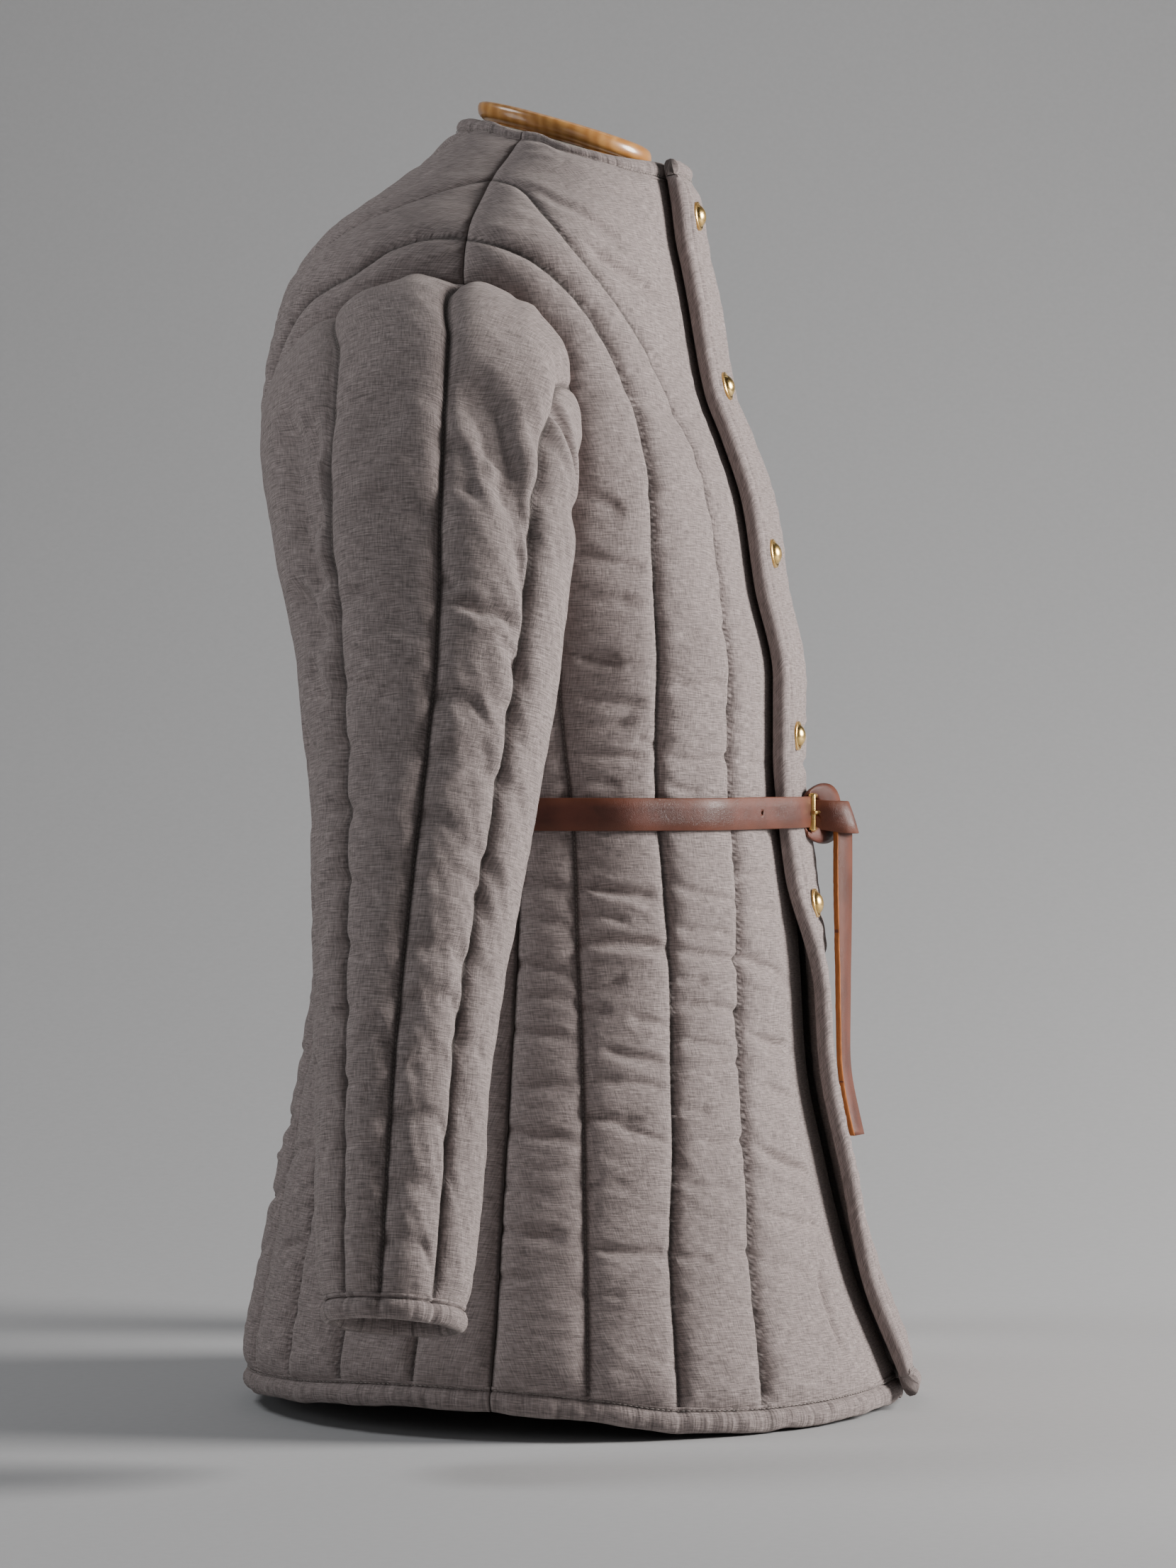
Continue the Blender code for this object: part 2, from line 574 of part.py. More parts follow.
def edge_bindings(name, outer, inner, normal, hem, neck, turn=False):
    down = up_the_wall(normal[0, hem], -1)
    up = up_the_wall(normal[-1, neck], 1)
    hem_strip = binding_strip(outer[0, hem], inner[0, hem], down, HEM_BINDING, clear=0.7)
    neck_strip = binding_strip(outer[-1, neck], inner[-1, neck], up, NECK_BINDING, clear=0.8, plump=0.6)
    for label, strip in (("hem", hem_strip), ("neck", neck_strip)):
        verts, faces = sweep(strip)
        add(f"{label}_binding_{name}", flipped(verts) if turn else verts, faces, BINDING)


edge_bindings("right", front_outer, front_inner, front_normal, FRONT_HEM, FRONT_NECK)
edge_bindings("left", left_outer, left_inner, front_normal, FRONT_HEM, FRONT_NECK, turn=True)
edge_bindings("back", back_outer, back_inner, back_normal, BACK_HEM, BACK_NECK)

# Sleeves.
SLEEVE_AT = np.concatenate([[0, 0.14, 0.45], np.linspace(0.9, 6, 10), np.linspace(6.35, 8.92, 10), [9]])
SLEEVE_KEEP_ROWS = [0, 1, 3, 5, 7, 9, 11, 13, 15, 17, 19, 21, 23]


def sleeve_ellipse(at, angle, rise):
    """Points round the sleeve at ring `at`, each pushed out of the ring's ellipse by its `rise`."""
    x1, z1, x0, z0, y, depth = (float(curve(np.arange(10), SLEEVE_RINGS[:, i], at)) for i in range(6))
    width = math.hypot(x1 - x0, z1 - z0) / 2
    out = np.array([x1 - x0, 0, z1 - z0]) / (2 * width)
    centre = np.array([(x0 + x1) / 2, y, (z0 + z1) / 2])
    a = np.radians(angle)[:, None]
    rise = np.asarray(rise, float).reshape(-1, 1)
    return centre - np.array([0, 1.0, 0]) * (depth + rise) * np.cos(a) + out * (width + rise) * np.sin(a)


def loop_points(front_edge, back_edge, places, every):
    """Points on the armhole's edge, from the armpit up the front and down the back, drawn a little into the
    opening. `every` is the step between the edge's own corners."""
    loop = np.concatenate([front_edge[:9], back_edge[11:0:-1], front_edge[:1]])
    corners = np.arange(0, len(loop), every)
    points = np.stack([np.interp(places, corners, loop[corners, i]) for i in range(3)], 1)
    inward = loop[:-1].mean(0) - points
    return points + inward / np.linalg.norm(inward, axis=1, keepdims=True) * 0.8


def sleeve_walls():
    angles, shares, across = [], [], []
    ends = [start for start, _ in SLEEVE_CHANNELS[1:]] + [630]
    for (start, places), end in zip(SLEEVE_CHANNELS, ends):
        for k, place in enumerate(places):
            angles.append(start + (end - start) * k / len(places))
            shares.append(place)
            across.append(k / len(places))
    angles, shares = np.array(angles), np.array(shares)
    crown = np.sin(np.pi * np.array(across)) ** 0.75
    outer_edge = loop_points(front_outer[-1], back_outer[-1], shares, 1)
    inner_edge = loop_points(front_inner[-1], back_inner[-1], shares, 2)
    plain = np.zeros(len(angles))
    x1, z1, x0, z0, y, depth = SLEEVE_RINGS[0]
    seen = np.degrees(
        np.arctan2((outer_edge[:, 2] - (z0 + z1) / 2) / ((z1 - z0) / 2), (y - outer_edge[:, 1]) / depth)
    )
    seen += 360 * np.round((angles - seen) / 360)
    outer_fix = outer_edge - sleeve_ellipse(0, seen, plain + SLEEVE_GROOVE)
    inner_fix = inner_edge - sleeve_ellipse(0, seen, plain + SLEEVE_LINING)
    outer, inner = [], []
    for row, at in enumerate(SLEEVE_AT):
        hold = max(0.0, 1 - at / 3.2) ** 2
        turn = seen + (angles - seen) * step(at, 0.4, 5)
        full = 0.2 if row == len(SLEEVE_AT) - 1 else (0, 0, 0.3, 0.85)[row] if row < 4 else 1.0
        rise = SLEEVE_GROOVE + (SLEEVE_CROWN - SLEEVE_GROOVE) * crown * full
        outer.append(sleeve_ellipse(at, turn, rise) + hold * outer_fix)
        inner.append(sleeve_ellipse(at, turn, plain + SLEEVE_LINING) + hold * inner_fix)
    return np.array(outer), np.array(inner)


sleeve_outer, sleeve_inner = sleeve_walls()
sleeve_keep = list(range(0, sleeve_outer.shape[1], 2))
verts, faces = wall(sleeve_outer, sleeve_inner, SLEEVE_KEEP_ROWS, sleeve_keep, tube=True)
cuff_along = sleeve_outer[-1].mean(0) - sleeve_outer[-3].mean(0)
cuff_along = np.tile(cuff_along / np.linalg.norm(cuff_along), (sleeve_outer.shape[1], 1))
cuff = binding_strip(sleeve_outer[-1], sleeve_inner[-1], cuff_along, CUFF_BINDING, plump=1.2)
cuff_verts, cuff_faces = sweep(cuff, closed=True)
add("sleeve_right", verts, faces, LINEN)
add("sleeve_left", flipped(verts), faces, LINEN)
add("cuff_binding_right", cuff_verts, cuff_faces, BINDING)
add("cuff_binding_left", flipped(cuff_verts), cuff_faces, BINDING)


# Buttons ride on the left front, at centre front.
def turned(profile, sides, place, axis):
    """A solid of revolution from (radius, height) pairs, its foot at `place` and its axis along `axis`."""
    verts, rings = [], []
    for radius, height in profile:
        if radius == 0:
            rings.append([len(verts)])
            verts.append((0, 0, height))
            continue
        rings.append(list(range(len(verts), len(verts) + sides)))
        for k in range(sides):
            a = 2 * math.pi * k / sides
            verts.append((radius * math.cos(a), radius * math.sin(a), height))
    faces = []
    for low, high in zip(rings, rings[1:]):
        for k in range(sides):
            l = (k + 1) % sides
            if len(low) == 1:
                faces.append((low[0], high[l], high[k]))
            elif len(high) == 1:
                faces.append((low[k], low[l], high[0]))
            else:
                faces.append((low[k], low[l], high[l], high[k]))
    turn = Vector((0, 0, 1)).rotation_difference(Vector(axis)).to_matrix()
    return [tuple(turn @ Vector(v) + Vector(place)) for v in verts], faces


flap = left_outer.copy()
flap[..., 0] *= -1
for number, height in enumerate(BUTTON_HEIGHTS, 1):
    axis = body_normal(1.0, height)
    axis = np.array([0.0, axis[1], axis[2]])
    axis /= np.linalg.norm(axis)
    spot = on_body(1.0, height)
    near = flap[(abs(flap[..., 0]) < 24) & (abs(flap[..., 2] - height) < 26)]
    foot = max(float((p - spot) @ axis) for p in near if np.hypot(p[0], p[2] - height) < 26)
    add(f"button_{number}", *turned(BUTTON_PROFILE, 14, spot + axis * (foot + 0.3), axis), BRASS, sharp=40)


# Belt: it runs on the crowns it is pulled over, like a string round the cloth.
def hull(points):
    points = sorted(set((round(float(x), 3), round(float(y), 3)) for x, y in points))

    def turn(a, b, c):
        return (b[0] - a[0]) * (c[1] - a[1]) - (b[1] - a[1]) * (c[0] - a[0])

    def half(run):
        out = []
        for p in run:
            while len(out) > 1 and turn(out[-2], out[-1], p) <= 0:
                out.pop()
            out.append(p)
        return out[:-1]

    return np.array(half(points) + half(points[::-1]))


def belt_path():
    """Closed path round the waist, every 4 mm, starting and ending at centre front and going towards +X."""
    band = [g.reshape(-1, 3) for g in (front_outer, flap, back_outer)]
    band = np.concatenate(band)
    low, high = BELT_HEIGHT - 30, BELT_HEIGHT + 30
    ring = hull(band[(band[:, 2] > low) & (band[:, 2] < high)][:, :2])
    start = int(np.argmin(np.hypot(ring[:, 0], ring[:, 1] + 170)))
    ring = np.concatenate([ring[start:], ring[: start + 1]])
    run = np.concatenate([[0], np.cumsum(np.linalg.norm(np.diff(ring, axis=0), axis=1))])
    at = np.linspace(0, run[-1], 221)
    path = np.stack([np.interp(at, run, ring[:, i]) for i in range(2)], 1)[:-1]
    for _ in range(2):
        path = 0.5 * path + 0.25 * (np.roll(path, 1, 0) + np.roll(path, -1, 0))
    return path


BELT_LOOP = belt_path()
BELT_LENGTH = float(np.linalg.norm(np.diff(BELT_LOOP, axis=0, append=BELT_LOOP[:1]), axis=1).sum())


def belt_at(distance, off):
    """Point and outward direction on the belt's path, `distance` along it from centre front towards +X."""
    share = (distance / BELT_LENGTH) % 1.0 * len(BELT_LOOP)
    i = int(share) % len(BELT_LOOP)
    p = BELT_LOOP[i] + (share - int(share)) * (BELT_LOOP[(i + 1) % len(BELT_LOOP)] - BELT_LOOP[i])
    tangent = BELT_LOOP[(i + 3) % len(BELT_LOOP)] - BELT_LOOP[(i - 2) % len(BELT_LOOP)]
    tangent /= np.linalg.norm(tangent)
    out = np.array([tangent[1], -tangent[0]])
    return p + out * off, out, tangent


BUCKLE_AT, KNOT_AT = 34.0, 62.0  # along the belt from centre front
BELT_CLEAR, UNDER_LIFT, LAYER = 2.9, 4.2, 4.0


def strap_section(distance, off, height=0.0, width=BELT_WIDTH):
    p, out, _ = belt_at(distance, off)
    q, _, _ = belt_at(distance, off + BELT_THICK)
    low, high = BELT_HEIGHT + height - width / 2, BELT_HEIGHT + height + width / 2
    return [(p[0], p[1], low), (q[0], q[1], low), (q[0], q[1], high), (p[0], p[1], high)]


def belt_strap():
    """Once round from the buckle, then over its own start and past the knot."""
    sections = []
    for d in np.concatenate([np.linspace(24, 110, 10), np.linspace(130, BELT_LENGTH - 60, 32),
                             BELT_LENGTH + np.linspace(-40, 88, 14)]):
        lifted = BELT_CLEAR + UNDER_LIFT * (1 - step(d, 90, 130))
        over = UNDER_LIFT * step(d, BELT_LENGTH - 55, BELT_LENGTH - 5)
        over += LAYER * step(d, BELT_LENGTH - 45, BELT_LENGTH + 4)
        sections.append(strap_section(d, lifted + over))
    return sweep(np.array(sections))


add("belt_strap", *belt_strap(), LEATHER, sharp=50)


def buckle():
    """Rectangular frame standing on the strap, with its prong."""
    p, out, tangent = belt_at(BUCKLE_AT, BELT_CLEAR + UNDER_LIFT + LAYER + BELT_THICK - 0.1)
    out3, along = np.array([*out, 0]), np.array([*tangent, 0])
    up = np.array([0, 0, 1.0])
    centre = np.array([*p, BELT_HEIGHT])
    sections = []
    corners = 16
    for k in range(corners):
        a = 2 * math.pi * (k + 0.5) / corners
        c, s = math.cos(a), math.sin(a)
        r = (abs(c) ** 5 + abs(s) ** 5) ** (-1 / 5)
        ring = []
        for m in range(6):
            b = 2 * math.pi * (m + 0.5) / 6
            wide, tall = 10.5 + 2.0 * math.cos(b), 15.0 + 2.0 * math.cos(b)
            ring.append(centre + along * r * c * wide + up * r * s * tall + out3 * (2.0 + 1.8 * math.sin(b)))
        sections.append(ring)
    verts, faces = sweep(np.array(sections), closed=True)
    frame = add("belt_buckle", verts, faces, BRASS, sharp=60)
    prong = []
    for t, h in ((-13.2, 3.6), (-9, 5.0), (0, 4.4), (8.5, 4.4), (11.8, 3.0)):
        ring = []
        for m in range(6):
            b = 2 * math.pi * m / 6
            ring.append(centre + along * t + up * 1.5 * math.cos(b) + out3 * (h + 1.4 * math.sin(b)))
        prong.append(ring)
    tool = add("buckle_prong", *sweep(np.array(prong)), BRASS)
    join = frame.modifiers.new("join", "BOOLEAN")
    join.operation, join.solver, join.object = "UNION", "EXACT", tool
    tool.hide_render = True


buckle()


def knot():
    """The strap's end, carried up behind the belt and over it as one loose loop."""
    first = BELT_CLEAR + UNDER_LIFT
    inside, outside = first - 0.9 - BELT_THICK, first + LAYER + BELT_THICK + 1.6 + BELT_THICK
    mid, reach = (inside + outside) / 2, (outside - inside) / 2
    sections = []
    steps = 18
    for k in range(steps):
        a = 2 * math.pi * k / steps
        c, s = math.cos(a), math.sin(a)
        r = (abs(c) ** 3 + abs(s) ** 3) ** (-1 / 3)
        ring = []
        for side, layer in ((-1, 0), (1, 0), (1, 1), (-1, 1)):
            off = mid + r * c * (reach - layer * BELT_THICK)
            tall = r * s * (18.5 - layer * BELT_THICK)
            p, _, _ = belt_at(KNOT_AT + side * BELT_WIDTH * 0.5, off)
            ring.append((p[0], p[1], BELT_HEIGHT + tall - 1.0))
        sections.append(ring)
    return sweep(np.array(sections), closed=True), outside


(knot_verts, knot_faces), knot_out = knot()
add("belt_knot", knot_verts, knot_faces, LEATHER, sharp=50)


def tail():
    """Hanging end: down from the knot, then lying against the skirt."""
    sections = []
    _, out, tangent = belt_at(KNOT_AT + 4, 0)
    for z in (395, 386, 374, 360, 340, 310, 280, 250, 220, 195, 176):
        row = []
        for side in (-1, 1):
            p, _, _ = belt_at(KNOT_AT + 4 + side * (BELT_WIDTH / 2 - 1.0), knot_out + 0.6)
            skirt = [v for v in flap.reshape(-1, 3) if abs(v[2] - z) < 24 and abs(v[0] - p[0]) < 26]
            far = max((float((v[:2] - p) @ out) for v in skirt), default=-50.0)
            push = max(0.0, far + 1.6) if z < 350 else 0.0
            row.append((p + out * push, side))
        (a, _), (b, _) = row
        sections.append([(*a, z), (*b, z), (*(b + out * BELT_THICK), z), (*(a + out * BELT_THICK), z)])
    return sweep(np.array(sections))


add("belt_tail", *tail(), LEATHER, sharp=50)


# Dress form.
def ring_points(half, front, back, centre, power, count):
    points = []
    for k in range(count):
        a = 2 * math.pi * k / count
        c, s = math.cos(a), math.sin(a)
        depth = centre - front if s < 0 else back - centre
        x = half * math.copysign(abs(c) ** (2 / power), c)
        points.append((x, centre + depth * math.copysign(abs(s) ** (2 / power), s)))
    return points


def torso():
    bottom = [FORM_BOTTOM + rise for rise in (0, 3, 8, 16, 28)]
    heights = np.concatenate([bottom, np.arange(290, 660, 36), np.arange(664, 808, 12), [FORM_TOP]])
    columns = [curve(FORM_RINGS[:, 0], FORM_RINGS[:, i], heights) for i in range(1, 6)]
    sections = []
    for z, *column in zip(heights, *columns):
        lean = NECK_SLOPE * float(step(z, 752, FORM_TOP))
        ring = ring_points(*column, FORM_SIDES)
        sections.append([(x, y, z + lean * y - 0.4) for x, y in ring])
    return sweep(np.array(sections))


add("form_torso", *torso(), FORM_CLOTH, sharp=50)


def neck_cap():
    middle, depth = (CAP_FRONT + CAP_BACK) / 2, (CAP_BACK - CAP_FRONT) / 2
    sections = []
    for share, height in CAP_PROFILE:
        ring = []
        for k in range(CAP_SIDES):
            a = 2 * math.pi * k / CAP_SIDES
            y = middle + share * depth * math.sin(a)
            ring.append((share * CAP_HALF_WIDTH * math.cos(a), y, FORM_TOP + NECK_SLOPE * y + height))
        sections.append(ring)
    return sweep(np.array(sections))


add("form_neck_cap", *neck_cap(), WOOD, sharp=60)
POLE_LENGTH = FORM_BOTTOM - DROP - 0.8 - BASE_THICK - BASE_GAP
POLE = [(0, 0), (POLE_RADIUS, 0), (POLE_RADIUS, POLE_LENGTH), (0, POLE_LENGTH)]
POLE_FOOT = (0, 0, BASE_THICK + BASE_GAP)
add("form_pole", *turned(POLE, POLE_SIDES, POLE_FOOT, (0, 0, 1)), STEEL, drop=0, sharp=40)
BASE = [(0, 0), (BASE_RADIUS - 3, 0), (BASE_RADIUS, 3), (BASE_RADIUS, 7), (BASE_RADIUS - 4, BASE_THICK),
        (0, BASE_THICK)]
add("form_base", *turned(BASE, BASE_SIDES, (0, 0, 0), (0, 0, 1)), STEEL, drop=0, sharp=30)
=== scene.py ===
"""Quilted linen gambeson with its leather belt on a limbless dress form: cloth, stitching, metal, leather and wood.

Tables and shapes are in millimetres, meshes in metres, +Z up. The wearer faces -Y and their right side is at -X.
The cloth is described on one body surface: q runs round the wearer's right half (0 at the side seam, 1 at centre
front, -1 at centre back; past 1 it has crossed to the left half) and z is the height before everything is set
DROP lower.
"""

import json
import math

import bmesh
import bpy
import numpy as np
from mathutils import Matrix, Vector
from mathutils.geometry import delaunay_2d_cdt
from mathutils.kdtree import KDTree

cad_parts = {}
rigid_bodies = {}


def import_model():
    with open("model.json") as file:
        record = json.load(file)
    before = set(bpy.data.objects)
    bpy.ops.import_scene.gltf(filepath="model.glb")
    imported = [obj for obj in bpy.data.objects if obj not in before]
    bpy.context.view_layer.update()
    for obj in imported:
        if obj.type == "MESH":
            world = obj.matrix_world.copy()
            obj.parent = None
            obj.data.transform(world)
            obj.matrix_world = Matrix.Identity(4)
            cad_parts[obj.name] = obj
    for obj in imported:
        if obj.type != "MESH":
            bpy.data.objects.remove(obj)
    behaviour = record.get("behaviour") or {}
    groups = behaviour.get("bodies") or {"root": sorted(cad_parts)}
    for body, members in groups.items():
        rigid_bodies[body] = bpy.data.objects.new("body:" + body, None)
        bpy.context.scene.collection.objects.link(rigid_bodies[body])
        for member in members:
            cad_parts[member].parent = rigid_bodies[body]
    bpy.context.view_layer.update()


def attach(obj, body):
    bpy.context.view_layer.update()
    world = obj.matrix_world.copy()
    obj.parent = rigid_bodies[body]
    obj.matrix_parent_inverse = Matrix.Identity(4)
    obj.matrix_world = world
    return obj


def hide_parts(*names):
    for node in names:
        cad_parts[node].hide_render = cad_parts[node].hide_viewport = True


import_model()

MM = 0.001
DROP = 8.0

# The body surface: height, half width, front Y, back Y, Y of the widest point, power of the superellipse.
BODY_RINGS = np.array([
    (8, 236, -238, 191, -24, 2.0),
    (40, 231, -224, 188, -26, 2.02),
    (92, 222, -202.5, 177, -28, 2.06),
    (165, 206, -183.5, 161, -28, 2.12),
    (223, 192, -172, 148, -28, 2.2),
    (301, 176, -167, 136, -28, 2.28),
    (373, 167, -158, 127, -28, 2.32),
    (420, 168, -154, 128, -28, 2.35),
    (466, 175, -154, 137, -28, 2.42),
    (524, 186, -142, 153, -27, 2.55),
    (576, 193, -134, 163, -22, 2.6),
    (619, 197, -120, 168, -15, 2.6),
    (645, 199, -110, 167, -10, 2.55),
    (680, 200, -103, 161, -4, 2.45),
    (704, 197, -99, 155, 0, 2.4),
    (725, 189, -95, 146, 1, 2.3),
    (745, 171, -91, 131, 2, 2.22),
    (764, 142, -89, 108, 2, 2.15),
    (780, 118, -87, 89, 1, 2.1),
    (796, 92, -85, 71, -2, 2.05),
    (822, 62, -80, 57, -8, 2.0),
    (840, 55, -76, 52, -10, 2.0),
], float)

# Wall of the quilted cloth, as distances out from the body surface.
GROOVE = -4.0
CROWN = 3.0
LINING = -9.0
# How far the left front's face and lining stand out where it laps over the right.
LAP_RISE, LAP_UNDER = 10.6, 8.8
LAP_WIDTH = 27.0
FLAP_LIFT = 1.5
RIGHT_EDGE_PAST_CENTRE = 20.0
LEFT_EDGE_PAST_CENTRE = 22.0
FLAP_OPEN, FLAP_OUT = 9.0, 9.5  # how far its edge moves round and stands out below the belt
FLAP_OPENS_AT = 340.0
TOPSTITCH_IN = 7.5
SEAM_GAP_Q = 0.0014

# Lower edge of the panels (the hem binding hangs below it) and their neck edge: q, height.
HEM_EDGE = [(-1, 29), (-0.45, 36), (-0.15, 41), (0, 40), (0.18, 35), (0.35, 27), (0.55, 25), (1, 27),
            (1.1, 27)]
NECK_EDGE = [(-1, 819), (-0.34, 815), (-0.1, 809), (0, 807), (0.09, 805), (0.25, 797), (0.43, 791),
             (0.67, 785), (1.2, 784)]

# Armhole, from the armpit to the shoulder tip: q, height.
ARMHOLE_FRONT = [(0, 532), (0.06, 540), (0.12, 556), (0.175, 586), (0.215, 614), (0.235, 638), (0.235, 658),
                 (0.215, 672), (0.18, 682), (0.14, 691), (0.06, 700), (0, 703)]
ARMHOLE_BACK = [(0, 532), (-0.12, 536), (-0.25, 549), (-0.37, 576), (-0.45, 612), (-0.47, 642), (-0.38, 663),
                (-0.265, 683), (-0.17, 697), (-0.08, 705), (0, 703)]
# Corners of the armhole's edge, as shares of its run.
ARMHOLE_FRONT_AT = (0, 0.09, 0.18, 0.27, 0.35, 0.55, 0.64, 0.72, 1)
ARMHOLE_BACK_AT = (0, 0.08, 0.16, 0.235, 0.31, 0.40, 0.44, 0.475, 0.51, 0.65, 0.70, 0.80, 1)

# Quilting lines of a front, from the hem to the top: q, height.
FRONT_A = [(0.178, 33), (0.172, 192), (0.165, 240), (0.150, 300), (0.140, 366), (0.130, 394), (0.108, 456),
           (0.115, 500), (0.145, 550), (0.185, 592.5)]
FRONT_B = [(0.345, 27), (0.355, 112), (0.385, 192), (0.39, 260), (0.38, 330), (0.368, 420), (0.372, 480),
           (0.388, 544), (0.415, 600), (0.422, 628), (0.405, 650), (0.36, 674), (0.265, 702), (0.155, 720),
           (0, 733)]
FRONT_C = [(0.52, 25), (0.565, 122), (0.60, 202), (0.612, 290), (0.635, 370), (0.632, 440), (0.645, 506),
           (0.66, 540), (0.652, 572), (0.648, 596), (0.63, 616), (0.59, 644), (0.505, 676), (0.395, 704),
           (0.30, 726), (0.22, 746), (0.135, 764), (0, 776)]
# Quilting lines of the back.
BACK_1 = [(-0.15, 41), (-0.14, 300), (-0.14, 420), (-0.17, 480), (-0.25, 530), (-0.341, 569.5)]
BACK_2 = [(-0.315, 39), (-0.33, 300), (-0.335, 420), (-0.38, 500), (-0.46, 570), (-0.49, 610), (-0.4625, 623)]
BACK_3 = [(-0.47, 35), (-0.47, 300), (-0.50, 420), (-0.56, 520), (-0.60, 600), (-0.56, 660), (-0.42, 696),
          (-0.26, 713), (-0.18, 726), (-0.09, 732), (0, 733)]
BACK_4 = [(-0.635, 32), (-0.64, 300), (-0.66, 420), (-0.72, 560), (-0.72, 650), (-0.62, 700), (-0.42, 738),
          (-0.22, 758), (-0.11, 768), (0, 776)]
BACK_5 = [(-0.81, 30), (-0.82, 400), (-0.86, 600), (-0.84, 700), (-0.74, 762), (-0.58, 797), (-0.45, 815.8)]
BACK_6 = [(-1, 29), (-1, 300), (-1, 600), (-1, 819)]

# Right sleeve's rings: X and Z on its outer side, X and Z under the arm, Y of the middle, half depth front
# to back.
SLEEVE_RINGS = np.array([
    (-190, 703, -190, 533, 25, 93),
    (-222, 697, -200, 530, 24, 95),
    (-252, 676, -206, 523, 19, 95),
    (-278, 642, -207, 512, 14, 93),
    (-300, 600, -211, 500, 9, 89),
    (-318, 552, -217, 480, 4, 84),
    (-333, 500, -226, 450, -2, 76),
    (-355, 413, -245, 387, -6, 65),
    (-399, 250, -301, 228, -8, 47.5),
    (-423, 115, -327, 93, -10, 40.5),
], float)
# Channels of the sleeve between its quilting lines: angle at its first line (270 underarm, 360 front, 450
# outside) and the places of its columns on the armhole's edge, counted in that edge's points from the armpit
# up the front.
SLEEVE_CHANNELS = [
    (270, (0, 0.5, 1, 1.5)),
    (335, (2, 3, 4, 4.5)),
    (399.5, (5, 6, 7, 7.5)),
    (450, (8, 8.5, 9, 9.5)),
    (515, (10, 11, 12, 13, 14)),
    (572, (15, 16, 17, 18, 19)),
]
SLEEVE_GROOVE, SLEEVE_CROWN, SLEEVE_LINING = -3.0, 4.0, -8.0
CUFF_BINDING = 13.0

NECK_BINDING = 11.0
HEM_BINDING = 14.0

BUTTON_HEIGHTS = (760.0, 650.0, 544.5, 430.5, 323.0)
BUTTON_RADIUS = 9.25

BELT_HEIGHT = 382.0
BELT_WIDTH = 20.0
BELT_THICK = 3.0

# Dress form: the same columns as the body surface.
FORM_RINGS = np.array([
    (236, 118, -98, 90, -8, 2.1),
    (241, 136, -114, 105, -9, 2.1),
    (256, 148, -126, 115, -12, 2.1),
    (300, 152, -133, 116, -16, 2.1),
    (350, 146, -130, 110, -18, 2.15),
    (400, 140, -126, 104, -20, 2.2),
    (466, 148, -128, 112, -20, 2.25),
    (524, 160, -122, 130, -20, 2.35),
    (576, 168, -116, 144, -18, 2.4),
    (619, 172, -104, 149, -13, 2.4),
    (655, 173, -93, 147, -6, 2.35),
    (682, 175, -86, 138, -2, 2.3),
    (704, 175, -80, 122, 0, 2.2),
    (720, 172.5, -76, 106, 0, 2.15),
    (736, 162.3, -71, 89, 0, 2.1),
    (752, 140, -68, 70, -3, 2.05),
    (768, 112, -66, 53, -6, 2.0),
    (784, 60, -64, 45, -10, 2.0),
    (796, 50, -63, 42, -12, 2.0),
    (813, 48, -63, 40, -12, 2.0),
], float)
NECK_SLOPE = 0.3
FORM_BOTTOM, FORM_TOP = 236.0, 813.0
CAP_HALF_WIDTH, CAP_FRONT, CAP_BACK = 50.0, -70.0, 42.0
# The cap's underside as a share of its full size; then its turned outline upwards: share, rise.
CAP_FOOT = 0.9
CAP_PROFILE = [(0.945, 0.9), (0.975, 1.2), (0.992, 1.6), (1.0, 2.4), (0.998, 2.2), (0.985, 2.0), (0.955, 1.3),
               (0.91, 0.8), (0.84, 0.35)]
POLE_RADIUS = 12.0
BASE_RADIUS, BASE_THICK = 70.0, 10.0
POLE_GAP, BASE_GAP = 0.8, 0.3  # over and under the pole
BASE_PROFILE = [(-0.8, 1.1), (0, 1.4), (-0.3, 2.6), (-1.6, 1.7), (-4, 0.9)]

FABRIC_STEP = 2.3  # distance between the points of the outer cloth
BACK_COARSER = 1.06  # the widest panel's points lie a little further apart
LINING_STEP = 9.0
PUCKER_REACH = 15.0
ROW_STEP = 0.866  # between the rows of an even triangular net, for a spacing of 1
CLOSER_ROWS = 0.45  # how much closer the rows lie on the shoulders, where the body leans in
FAR_FROM_SEAM = 60.0  # what the seam map says where there is no seam


# Curves and the body surface ---------------------------------------------------------------------------------


def curve(x, y, at):
    """Smooth monotone curve through the points (x, y), read at `at`."""
    x, y = np.asarray(x, float), np.asarray(y, float)
    h = np.diff(x)
    d = np.diff(y) / h
    m = np.zeros_like(y)
    w1, w2 = 2 * h[1:] + h[:-1], h[1:] + 2 * h[:-1]
    for i in range(1, len(y) - 1):
        if d[i - 1] * d[i] > 0:
            m[i] = (w1[i - 1] + w2[i - 1]) / (w1[i - 1] / d[i - 1] + w2[i - 1] / d[i])
    m[0], m[-1] = d[0], d[-1]
    at = np.clip(np.asarray(at, float), x[0], x[-1])
    k = np.clip(np.searchsorted(x, at) - 1, 0, len(h) - 1)
    t = (at - x[k]) / h[k]
    return (
        (1 + 2 * t) * (1 - t) ** 2 * y[k]
        + t * (1 - t) ** 2 * h[k] * m[k]
        + t * t * (3 - 2 * t) * y[k + 1]
        + t * t * (t - 1) * h[k] * m[k + 1]
    )


def run_along(points):
    """Length along a line of points, from 0 at its first."""
    return np.concatenate([[0], np.cumsum(np.linalg.norm(np.diff(points, axis=0), axis=1))])


def read_at(at, run, points):
    """Points of a line at the given lengths along it."""
    return np.stack([np.interp(at, run, column) for column in points.T], -1)


def step(x, low, high):
    t = np.clip((np.asarray(x, float) - low) / (high - low), 0, 1)
    return t * t * (3 - 2 * t)


TABLE_STEP, TABLE_Q = 2.0, 121


